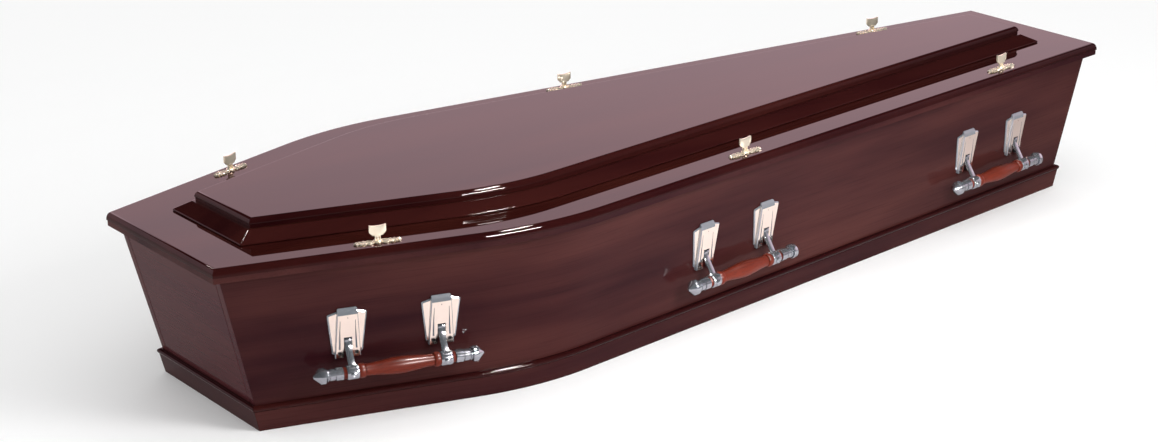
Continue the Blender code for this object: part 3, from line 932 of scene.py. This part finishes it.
def rosetteLeaf(root, tip, wide, high, low):     # a flat leaf with a raised ridge
    root = Vector((*root, low))
    tip = Vector((*tip, low))
    run = tip - root
    across = run.normalized().cross(zUp) * wide / 2
    half = ((0, 0.5), (0.3, 1), (0.75, 0.7))                 # share of the length, share of the width
    leaf = drawFace("leaf", [root + run * t - across * w for t, w in half] + [tip]
                    + [root + run * t + across * w for t, w in half[::-1]])
    lookTowards(leaf, zUp)
    pull((0, 0, high * 0.5 - low))
    bpy.ops.mesh.poke(offset=high * 0.5)
    cleanUp()
    return leaf


def rosetteLoop(x, y):                       # a pierced oval beside the middle
    bpy.ops.object.select_all(action="DESELECT")
    bpy.ops.mesh.primitive_torus_add(major_radius=loops["long"], minor_radius=loops["thick"],
                                     major_segments=28, minor_segments=8, location=(0, 0, 0))
    loop = bpy.context.active_object
    intoEdit(loop)
    bpy.ops.transform.resize(value=(1, loops["short"] / loops["long"], 1.1), center_override=(0, 0, 0))
    bpy.ops.transform.translate(value=(x, y, loops["height"]))
    leaveEdit()
    return loop


def rosette():
    bpy.ops.object.select_all(action="DESELECT")
    bpy.ops.mesh.primitive_cylinder_add(vertices=28, radius=screw["padRadius"], depth=screw["padHeight"],
                                        location=(0, 0, screw["padHeight"] / 2))
    base = bpy.context.active_object
    base.name = "lid_screw"
    bakePlace(base)
    intoEdit(base)
    bpy.ops.transform.resize(value=(1, 0.82, 1), center_override=(0, 0, 0))
    leaveEdit()
    roundEdges(base, screw["edge"] * 2, 3, 60)
    for k, sizes in enumerate(leafPlan()):
        combine(base, rosetteLeaf(*sizes, -leaves["stagger"] * (k + 1)), "UNION")
    for hand in (-1, 1):
        for face in (-1, 1):
            combine(base, rosetteLoop(hand * loops["along"], face * loops["across"]), "UNION")
    return base


def thumbHead():
    low = screw["padHeight"] * 0.8
    neckTop = screw["neckFrom"] + screw["neckHeight"]
    top = neckTop + screw["thumbHeight"]
    wide = screw["thumbWidth"] / 2
    half = screw["neckWidth"] / 2
    front = screw["thumbThick"] / 2
    outline = [(-wide + screw["chamfer"], neckTop), (wide - screw["chamfer"], neckTop),
               (wide, neckTop + screw["chamfer"]), (wide, top)]
    for k in range(1, screw["dishSteps"]):
        t = 1 - 2 * k / screw["dishSteps"]
        outline.append((wide * t, top - screw["dish"] * (1 - t * t)))
    outline += [(-wide, top), (-wide, neckTop + screw["chamfer"])]
    thumb = drawFace("thumb", [Vector((x, -front, z)) for x, z in outline])
    pull((0, 2 * front, 0))
    cleanUp()
    front = screw["neckThick"] / 2
    right = [(half * 1.35, low), (half * 0.9, neckTop - 0.004), (half, neckTop + 0.001)]
    outline = [(-half * 1.35, low)] + right + [(-x, z) for x, z in right[:0:-1]]
    neck = drawFace("neck", [Vector((x, -front, z)) for x, z in outline])
    pull((0, 2 * front, 0))
    cleanUp()
    combine(thumb, neck, "UNION")
    slotTop = neckTop - screw["slotDrop"]
    for hand in (-1, 1):
        middle = hand * screw["slotFromMiddle"]
        outline = [(middle + a * screw["slotWidth"] / 2, slotTop - b * screw["slotTall"])
                   for a, b in ((-1, 1), (1, 1), (0.7, 0), (-0.7, 0))]
        slot = drawFace("slot", [Vector((x, -0.01, z)) for x, z in outline])
        pull((0, 0.02, 0))
        cleanUp()
        combine(thumb, slot, "DIFFERENCE")
    roundEdges(thumb, screw["edge"], 2, 40)
    return thumb


def lidScrew():
    item = rosette()
    combine(item, thumbHead(), "UNION")
    smooth(item, 30, False)
    return item


# Shared effects, as node groups

def effectGroup(name, inputs, outputs):      # an empty node group with these sockets
    group = bpy.data.node_groups.new(name, "ShaderNodeTree")
    for label, kind, value in inputs:
        socket = group.interface.new_socket(label, in_out="INPUT", socket_type="NodeSocket" + kind)
        if value is not None:
            socket.default_value = value
    for label, kind in outputs:
        group.interface.new_socket(label, in_out="OUTPUT", socket_type="NodeSocket" + kind)
    source = group.nodes.new("NodeGroupInput")
    target = group.nodes.new("NodeGroupOutput")
    return group, source, target


def noiseNode(tree, vector, scale, detail, roughness=0.5):    # noise stretched by a scale vector
    stretch = tree.nodes.new("ShaderNodeMapping")
    stretch.inputs["Scale"].default_value = scale
    noise = tree.nodes.new("ShaderNodeTexNoise")
    noise.inputs["Scale"].default_value = 1
    noise.inputs["Detail"].default_value = detail
    noise.inputs["Roughness"].default_value = roughness
    tree.links.new(vector, stretch.inputs["Vector"])
    tree.links.new(stretch.outputs["Vector"], noise.inputs["Vector"])
    return noise.outputs["Fac"]


def spreadNode(tree, value, low, high):      # stretches low..high to 0..1
    spread = tree.nodes.new("ShaderNodeMapRange")
    spread.inputs["From Min"].default_value = low
    spread.inputs["From Max"].default_value = high
    tree.links.new(value, spread.inputs["Value"])
    return spread.outputs["Result"]


def mathNode(tree, operation, first, second):
    node = tree.nodes.new("ShaderNodeMath")
    node.operation = operation
    for socket, value in zip(node.inputs, (first, second)):
        if isinstance(value, (int, float)):
            socket.default_value = value
        else:
            tree.links.new(value, socket)
    return node.outputs["Value"]


def mixNode(tree, factor, first, second):    # colour mix
    node = tree.nodes.new("ShaderNodeMix")
    node.data_type = "RGBA"
    for socket, value in ((node.inputs[0], factor), (node.inputs[6], first), (node.inputs[7], second)):
        if isinstance(value, (int, float, tuple)):
            socket.default_value = value
        else:
            tree.links.new(value, socket)
    return node.outputs[2]


woodLook = {
    "broad": (1.3, 8.0, 8.0), "broadRange": (0.32, 0.68), "broadShare": 0.78,        # patches along the board
    "streak": (1.6, 34.0, 34.0), "streakRange": (0.3, 0.7), "streakShare": 0.22,     # growth lines
    "pore": (9.0, 600.0, 600.0), "poreRange": (0.52, 0.74), "poreColor": (0.012, 0.004, 0.004, 1),
}


def woodGroup():
    group, source, target = effectGroup(
        "wood grain",
        [("Position", "Vector", None), ("Dark", "Color", (0.05, 0.01, 0.01, 1)),
         ("Warm", "Color", (0.1, 0.03, 0.02, 1)), ("Figure", "Float", 0.6), ("Pores", "Float", 0.3)],
        [("Color", "Color"), ("Pores", "Float")])
    position = source.outputs["Position"]
    broad = spreadNode(group, noiseNode(group, position, woodLook["broad"], 3), *woodLook["broadRange"])
    streak = spreadNode(group, noiseNode(group, position, woodLook["streak"], 4, 0.6),
                        *woodLook["streakRange"])
    pore = spreadNode(group, noiseNode(group, position, woodLook["pore"], 2), *woodLook["poreRange"])
    figure = mathNode(group, "ADD", mathNode(group, "MULTIPLY", broad, woodLook["broadShare"]),
                      mathNode(group, "MULTIPLY", streak, woodLook["streakShare"]))
    warm = mixNode(group, mathNode(group, "MULTIPLY", figure, source.outputs["Figure"]),
                   source.outputs["Dark"], source.outputs["Warm"])
    shade = mathNode(group, "MULTIPLY", pore, source.outputs["Pores"])
    color = mixNode(group, shade, warm, woodLook["poreColor"])
    group.links.new(color, target.inputs["Color"])
    group.links.new(pore, target.inputs["Pores"])
    return group


def polishGroup():                           # slight unevenness of a polished surface
    group, source, target = effectGroup(
        "uneven polish",
        [("Position", "Vector", None), ("Roughness", "Float", 0.08), ("Variation", "Float", 0.03),
         ("Scale", "Float", 6.0)],
        [("Roughness", "Float"), ("Height", "Float")])
    stretch = group.nodes.new("ShaderNodeVectorMath")
    stretch.operation = "SCALE"
    group.links.new(source.outputs["Position"], stretch.inputs[0])
    group.links.new(source.outputs["Scale"], stretch.inputs["Scale"])
    smudge = noiseNode(group, stretch.outputs["Vector"], (1, 1, 1), 4)
    ripple = noiseNode(group, stretch.outputs["Vector"], (0.5, 0.5, 0.5), 1)
    rough = mathNode(group, "ADD", source.outputs["Roughness"],
                     mathNode(group, "MULTIPLY", mathNode(group, "SUBTRACT", smudge, 0.5),
                              source.outputs["Variation"]))
    group.links.new(rough, target.inputs["Roughness"])
    group.links.new(ripple, target.inputs["Height"])
    return group


castGrain = {"cloud": (60, 60, 60), "cloudRange": (0.35, 0.7), "cloudRough": 0.06, "brush": (2600, 2600, 60)}


def castGroup():                             # cast and brushed metal
    group, source, target = effectGroup(
        "cast metal",
        [("Position", "Vector", None), ("Color", "Color", (0.7, 0.62, 0.55, 1)),
         ("Tarnish", "Color", (0.45, 0.4, 0.37, 1)), ("Amount", "Float", 0.3), ("Brush", "Float", 0.4)],
        [("Color", "Color"), ("Roughness", "Float"), ("Height", "Float")])
    position = source.outputs["Position"]
    cloud = spreadNode(group, noiseNode(group, position, castGrain["cloud"], 2), *castGrain["cloudRange"])
    brushed = noiseNode(group, position, castGrain["brush"], 2)
    color = mixNode(group, mathNode(group, "MULTIPLY", cloud, source.outputs["Amount"]),
                    source.outputs["Color"], source.outputs["Tarnish"])
    rough = mathNode(group, "ADD", mathNode(group, "MULTIPLY", cloud, castGrain["cloudRough"]),
                     mathNode(group, "MULTIPLY", brushed, source.outputs["Brush"]))
    group.links.new(color, target.inputs["Color"])
    group.links.new(rough, target.inputs["Roughness"])
    group.links.new(brushed, target.inputs["Height"])
    return group


grainEffect = woodGroup()
polishEffect = polishGroup()
castEffect = castGroup()


# Materials

def newMaterial(name, roughness, metallic=0, coat=0, specular=0.5):
    material = bpy.data.materials.new(name)
    material.use_nodes = True
    shader = material.node_tree.nodes["Principled BSDF"]
    shader.inputs["Roughness"].default_value = roughness
    shader.inputs["Metallic"].default_value = metallic
    shader.inputs["Coat Weight"].default_value = coat
    shader.inputs["Specular IOR Level"].default_value = specular
    return material, material.node_tree, shader


def effectNode(tree, effect, **values):
    node = tree.nodes.new("ShaderNodeGroup")
    node.node_tree = effect
    for key, value in values.items():
        node.inputs[key].default_value = value
    return node


def positionNode(tree, attribute=None):      # a stored attribute, or where the point lies in its object
    if attribute:
        node = tree.nodes.new("ShaderNodeAttribute")
        node.attribute_name = attribute
        return node.outputs["Vector"]
    return tree.nodes.new("ShaderNodeTexCoord").outputs["Object"]


def bumpNode(tree, shader, height, strength, distance):
    bump = tree.nodes.new("ShaderNodeBump")
    bump.inputs["Strength"].default_value = strength
    bump.inputs["Distance"].default_value = distance
    tree.links.new(height, bump.inputs["Height"])
    tree.links.new(bump.outputs["Normal"], shader.inputs["Normal"])


rippleHeight = 0.001
castHeight = 0.0002


def woodMaterial(name, dark, warm, values, attribute="grain"):
    material, tree, shader = newMaterial(name, values["roughness"], 0, values["coat"], values["specular"])
    position = positionNode(tree, attribute)
    grain = effectNode(tree, grainEffect, Dark=(*dark, 1), Warm=(*warm, 1), Figure=values["figure"],
                       Pores=values["pores"])
    polish = effectNode(tree, polishEffect, Roughness=values["roughness"], Variation=values["variation"])
    tree.links.new(position, grain.inputs["Position"])
    tree.links.new(position, polish.inputs["Position"])
    tree.links.new(grain.outputs["Color"], shader.inputs["Base Color"])
    tree.links.new(polish.outputs["Roughness"], shader.inputs["Roughness"])
    bumpNode(tree, shader, polish.outputs["Height"], values["ripple"], rippleHeight)
    return material


def metalMaterial(name, color, tarnish, values):
    material, tree, shader = newMaterial(name, values["roughness"], values["metallic"])
    cast = effectNode(tree, castEffect, Color=(*color, 1), Tarnish=(*tarnish, 1), Amount=values["amount"],
                      Brush=values["roughness"] * 2)
    tree.links.new(positionNode(tree), cast.inputs["Position"])
    tree.links.new(cast.outputs["Color"], shader.inputs["Base Color"])
    tree.links.new(cast.outputs["Roughness"], shader.inputs["Roughness"])
    bumpNode(tree, shader, cast.outputs["Height"], values["bump"], castHeight)
    return material


sideLacquer = {"roughness": 0.07, "variation": 0.03, "coat": 0.0, "specular": 0.065,
               "figure": 1.0, "pores": 0.35, "ripple": 0.04}
topLacquer = {"roughness": 0.012, "variation": 0.006, "coat": 0.0, "specular": 0.15,
              "figure": 0.8, "pores": 0.25, "ripple": 0.02}
edgeLacquer = {"roughness": 0.020, "variation": 0.01, "coat": 0.0, "specular": 0.12,
               "figure": 0.9, "pores": 0.2, "ripple": 0.0}
turnedLook = {"roughness": 0.30, "variation": 0.05, "coat": 0.02, "specular": 0.16,
              "figure": 0.9, "pores": 0.5, "ripple": 0.0}
insideLook = {"roughness": 0.45, "variation": 0.10, "coat": 0.0, "specular": 0.40,
              "figure": 0.8, "pores": 0.4, "ripple": 0.0}
plateLook = {"roughness": 0.09, "metallic": 1.0, "amount": 0.3, "bump": 0.005}
edgeLook = {"roughness": 0.06, "metallic": 0.55, "amount": 0.35, "bump": 0.005}
castLook = {"roughness": 0.08, "metallic": 0.85, "amount": 0.4, "bump": 0.005}
brassLook = {"roughness": 0.16, "metallic": 0.72, "amount": 0.4, "bump": 0.005}

# Each wood has its dark colour, then its warm one
lacquerSides = woodMaterial("lacquered_mahogany_sides", (0.017, 0.0032, 0.0056), (0.072, 0.0225, 0.0195),
                            sideLacquer)
# a lighter, pinker copy of the side lacquer for faces turned to the head end: painted light
lacquerHeadLit = woodMaterial("lacquered_mahogany_head", (0.046, 0.0090, 0.0140), (0.070, 0.020, 0.020),
                           sideLacquer)
# a darker copy of the same lacquer for the lid's mouldings and the plinth beads: painted shade
lacquerEdgesShaded = woodMaterial("lacquered_mahogany_mouldings", (0.014, 0.0018, 0.0024), (0.038, 0.0080, 0.0066),
                            edgeLacquer)
# a darker copy of the same lacquer for the wide flat tops of the lid: painted shade
lacquerTopsShaded = woodMaterial("lacquered_mahogany_tops", (0.017, 0.0022, 0.0022), (0.046, 0.0100, 0.0066),
                           topLacquer)
plainMahogany = woodMaterial("plain_mahogany", (0.06, 0.018, 0.012), (0.16, 0.06, 0.035), insideLook, None)
turnedWood = woodMaterial("red_turned_wood", (0.090, 0.011, 0.006), (0.21, 0.030, 0.013), turnedLook)

# Each metal has its bright colour, then its tarnish
nickelFace = metalMaterial("nickel", (0.98, 0.90, 0.80), (0.90, 0.82, 0.74), plateLook)
# a darker, bluer copy of the nickel for bevels, sides and flute grooves: painted shade
nickelShade = metalMaterial("nickel_bevel", (0.33, 0.36, 0.40), (0.38, 0.38, 0.38), edgeLook)
nickelCast = metalMaterial("nickel_castings", (0.42, 0.46, 0.50), (0.27, 0.29, 0.32), castLook)
paleBrass = metalMaterial("pale_brass", (1.0, 0.93, 0.76), (0.72, 0.60, 0.42), brassLook)
# near-black: painted shade on the walls of the slot and the pin hole; in the screw holes it stands for the
# dark screw heads, with painted shade in the recess
recessShadeAndDarkScrews = newMaterial("dark_recess", 0.5)[0]
recessShadeAndDarkScrews.node_tree.nodes["Principled BSDF"].inputs["Base Color"].default_value = (0.01, 0.01, 0.012, 1)


# Pieces into place

grainStart = {                   # where each board's figure starts, so that no two boards match
    "side": 1.7, "sidePlinth": 3.1, "betweenHands": 5, "end": 9, "endPlinth": 12,
    "lidBoard": 20, "riser": 27, "panel": 34, "bar": 1.7,
}


def shadeBead(piece):           # the bead on a plinth takes the darker moulding copy of the lacquer: painted shade along the bead
    if "plinth" in piece.name:
        for face in piece.data.polygons:
            face.material_index = 1 if face.center.z > plinth["faceHeight"] - plinth["quirk"] else 0


def finishSides():
    board = sideBoard()
    strip = plinthSide()
    for name, hand in sideHands.items():
        for piece, node, start in ((board, name + "_side_board", grainStart["side"]),
                                   (strip, name + "_plinth", grainStart["sidePlinth"])):
            if hand < 0:
                twin = copyOf(piece, node + "_finished")
            else:
                twin = acrossX(piece, node + "_finished")
                smooth(twin, 35)
            giveGrain(twin, "side", start + hand * grainStart["betweenHands"])
            setMaterials(twin, lacquerSides, lacquerEdgesShaded, lacquerHeadLit)
            shadeBead(twin)
            for face in twin.data.polygons:
                if face.normal.x < -0.8:         # the board's end, seen beside the head board
                    # these end faces take the lighter head copy of the lacquer: painted light
                    face.material_index = 2
            finishPiece(twin, "coffin", "lacquered_mahogany", node)
    removePieces(board, strip)


def finishEnds():
    for end, ahead in endHands.items():
        for piece, node, start in ((endBoard(end + "_board"), end + "_board", grainStart["end"]),
                                   (plinthEnd(end), end + "_plinth", grainStart["endPlinth"])):
            piece.name = node + "_finished"
            giveGrain(piece, "end", start + ahead)
            # the head board takes the lighter head copy of the lacquer: painted light
            setMaterials(piece, lacquerHeadLit if node == "head_board" else lacquerSides, lacquerEdgesShaded)
            shadeBead(piece)
            finishPiece(piece, "coffin", "lacquered_mahogany", node)


def finishLid():
    for piece, node, key in ((lidBoard(), "lid_board", "lidBoard"), (lidRiser(), "lid_riser", "riser"),
                             (topPanel(), "lid_top_panel", "panel")):
        giveGrain(piece, "top", grainStart[key])
        # every face not picked below keeps the darker moulding copy: painted shade
        setMaterials(piece, lacquerEdgesShaded, lacquerTopsShaded, lacquerSides)
        for face in piece.data.polygons:
            if face.normal.z > 0.999 and face.area > 0.1:            # the wide flat top
                # the flat top takes the darker tops copy of the lacquer: painted shade
                face.material_index = 1
            elif face.center.z < lidTop - lid["noseDrop"]:       # the plain foot of the lid's edge
                # the plain foot takes the lighter side lacquer instead of the darker moulding copy: painted
                # light
                face.material_index = 2
        finishPiece(piece, "coffin", "lacquered_mahogany", node)


def handleMatrix(joint):                     # from the modelled handle to where a joint puts it
    along = -Vector(joint["axis"]).normalized()
    flatOut = along.cross(zUp)
    tilt = atan(box["sideRake"])
    out = flatOut * cos(tilt) - zUp * sin(tilt)
    up = flatOut * sin(tilt) + zUp * cos(tilt)
    place = Matrix((along, -out, up)).transposed().to_4x4()
    place.translation = joint["pos_m"]
    return place


def finishHandles():
    barPiece = turnedBar()
    armPiece = handleArm()
    platePiece = backplate(nickelFace, nickelShade, recessShadeAndDarkScrews)
    capPiece = endCap()
    setMaterials(barPiece, turnedWood)
    setMaterials(armPiece, nickelCast)
    setMaterials(capPiece, nickelCast)
    capStart = handle["armSpacing"] / 2 + collar["width"] / 2 + bar["spacerLength"] + gap
    for number, joint in enumerate(frame["joints"], 1):
        body = joint["child"]
        place = handleMatrix(joint)
        twin = placed(barPiece, body + "_bar_finished", place)
        for item in twin.data.attributes["grain"].data:
            item.vector = Vector(item.vector) + xAxis * number * grainStart["bar"]
        finishPiece(twin, body, "red_turned_wood", body + "_bar")
        for letter, hand in (("a", -1), ("b", 1)):
            sideways = Matrix.Translation((hand * handle["armSpacing"] / 2, 0, 0))
            barEnd = Matrix.Translation(barMiddle + xAxis * hand * capStart)
            turned = Matrix.Rotation(pi if hand < 0 else 0, 4, "Z")
            for piece, kind, spot, rides in ((armPiece, "_arm_", sideways, body),
                                             (platePiece, "_backplate_", sideways, "coffin"),
                                             (capPiece, "_cap_", barEnd @ turned, body)):
                node = body + kind + letter
                finishPiece(placed(piece, node + "_finished", place @ spot), rides, "nickel", node)
    removePieces(barPiece, armPiece, platePiece, capPiece)


screwPlaces = {"head": 0.253, "middle": 1.006, "foot": 1.742, "inset": 0.018}    # from the head end, along X


def finishScrews():
    piece = lidScrew()
    setMaterials(piece, paleBrass)
    for name, hand in sideHands.items():
        for where in ("head", "middle", "foot"):
            x = screwPlaces[where] - plan["length"] / 2
            if x < side["shoulder"].x:
                run, start, outDir = side["headRun"], side["head"], side["headOut"]
            else:
                run, start, outDir = side["footRun"], side["foot"], side["footOut"]
            point = start + run * ((x - start.x) / run.x) - outDir * screwPlaces["inset"]
            toSide = Vector((1, -hand, 1))
            along = run * toSide
            point = point * toSide
            point.z = lidTop + gap
            place = Matrix((along, zUp.cross(along), zUp)).transposed().to_4x4()
            place.translation = point
            node = name + "_" + where + "_lid_screw"
            finishPiece(placed(piece, node + "_finished", place), "coffin", "pale_brass", node)
    removePieces(piece)


finishSides()
print("Sides and their plinths done")
finishEnds()
print("Ends done")
finishLid()
print("Lid done")
finishHandles()
print("Handles done")
finishScrews()
print("Lid screws done")
setMaterials(frame["nodes"]["base_board"], plainMahogany)


# Floor, light and camera

studio = {
    "floor": 0.97,
    "mirroredFloor": (0.80, 0.71, 0.72),     # the floor in reflections
    "mirroredFar": (0.30, 0.25, 0.26),       # the same beyond the foot end
    "farFrom": 0.5, "farTo": 1.5,            # where along X it changes
    "ambient": 1.18,
    "backdrop": (1.56, 1.09, 1.21),          # what gloss mirrors low down ahead of the camera
    "overhead": (0.02, 0.02, 0.025),
    "behind": (0.03, 0.03, 0.035),
    "ahead": (0.61, 0.79, 0),
    "horizon": (0.44, 0.52),                 # where the backdrop ends in the height of a direction
    "turning": (-0.1, 0.4),                  # and how far it reaches round
    "softboxColor": (1.0, 0.88, 0.85),
}
lamps = {                        # at, target, size and strength; the soft boxes only show in gloss
    "key": ((0.05, -1.5, 1.05), (0.05, -0.2, 0.15), (0.8, 0.8), 11),
    "softbox_low": ((0.20, -3.5, 1.6), (-0.4, -0.33, 0.3), (1.3, 0.10), 1000),
    "softbox_high": ((0.7, -1.3, 3.5), (-0.4, -0.33, 0.3), (0.8, 0.14), 1000),
    "softbox_far": ((-0.67, 2.03, 3.68), (-0.93, -0.1, 0.3), (0.12, 0.18), 250),
}
lens = {
    "at": (-2.6656, -3.2373, 1.6040),
    "yaw": 0.6561, "pitch": -0.3442, "roll": -0.01,
    "sensor": 36, "focal": 74.55, "clipEnd": 200,
}


def floor():
    bpy.ops.object.select_all(action="DESELECT")
    bpy.ops.mesh.primitive_plane_add(size=60, location=(0, 0, 0))
    plane = bpy.context.active_object
    plane.name = "floor"
    material, tree, shader = newMaterial("pale_floor", 1.0, 0, 0, 0.0)
    path = tree.nodes.new("ShaderNodeLightPath")
    split = tree.nodes.new("ShaderNodeSeparateXYZ")
    tree.links.new(positionNode(tree), split.inputs["Vector"])
    far = spreadNode(tree, split.outputs["X"], studio["farFrom"], studio["farTo"])
    mirrored = mixNode(tree, far, (*studio["mirroredFloor"], 1), (*studio["mirroredFar"], 1))
    color = mixNode(tree, path.outputs["Is Glossy Ray"], (*[studio["floor"]] * 3, 1), mirrored)
    tree.links.new(color, shader.inputs["Base Color"])
    setMaterials(plane, material)


def surroundings():
    world = bpy.data.worlds.new("studio")
    bpy.context.scene.world = world
    world.use_nodes = True
    tree = world.node_tree
    tree.nodes.clear()
    output = tree.nodes.new("ShaderNodeOutputWorld")
    even = tree.nodes.new("ShaderNodeBackground")
    even.inputs["Strength"].default_value = studio["ambient"]
    mirrored = tree.nodes.new("ShaderNodeBackground")
    direction = tree.nodes.new("ShaderNodeTexCoord").outputs["Generated"]
    split = tree.nodes.new("ShaderNodeSeparateXYZ")
    tree.links.new(direction, split.inputs["Vector"])
    height = spreadNode(tree, split.outputs["Z"], *studio["horizon"])
    facing = tree.nodes.new("ShaderNodeVectorMath")
    facing.operation = "DOT_PRODUCT"
    facing.inputs[1].default_value = studio["ahead"]
    tree.links.new(direction, facing.inputs[0])
    forward = spreadNode(tree, facing.outputs["Value"], *studio["turning"])
    level = mixNode(tree, forward, (*studio["behind"], 1), (*studio["backdrop"], 1))
    color = mixNode(tree, height, level, (*studio["overhead"], 1))
    tree.links.new(color, mirrored.inputs["Color"])
    path = tree.nodes.new("ShaderNodeLightPath")
    mix = tree.nodes.new("ShaderNodeMixShader")
    tree.links.new(path.outputs["Is Glossy Ray"], mix.inputs["Fac"])
    tree.links.new(even.outputs["Background"], mix.inputs[1])
    tree.links.new(mirrored.outputs["Background"], mix.inputs[2])
    tree.links.new(mix.outputs["Shader"], output.inputs["Surface"])


def areaLight(name, at, target, size, radiance, glossy):
    bpy.ops.object.light_add(type="AREA", location=at)
    lamp = bpy.context.active_object
    lamp.name = name
    lamp.data.shape = "RECTANGLE"
    lamp.data.size, lamp.data.size_y = size
    lamp.data.energy = radiance * size[0] * size[1] * pi
    lamp.rotation_euler = (Vector(target) - Vector(at)).to_track_quat("-Z", "Y").to_euler()
    lamp.data.color = studio["softboxColor"] if glossy else (1, 1, 1)
    lamp.visible_camera = False
    lamp.visible_diffuse = not glossy
    lamp.visible_glossy = glossy


def camera():
    yaw, pitch, roll = lens["yaw"], lens["pitch"], lens["roll"]
    ahead = Vector((sin(yaw) * cos(pitch), cos(yaw) * cos(pitch), sin(pitch)))
    right = ahead.cross(zUp).normalized()
    up = right.cross(ahead)
    across = right * cos(roll) + up * sin(roll)
    upwards = -right * sin(roll) + up * cos(roll)
    bpy.ops.object.camera_add(location=(0, 0, 0))
    view = bpy.context.active_object
    place = Matrix((across, upwards, -ahead)).transposed().to_4x4()
    place.translation = lens["at"]
    view.matrix_world = place
    view.data.sensor_width = lens["sensor"]
    view.data.lens = lens["focal"]
    view.data.dof.use_dof = False
    view.data.clip_end = lens["clipEnd"]
    bpy.context.scene.camera = view


floor()
surroundings()
for name, (at, target, size, radiance) in lamps.items():
    areaLight(name, at, target, size, radiance, name != "key")
camera()
bpy.context.scene.view_settings.view_transform = "Standard"
print("Studio done")
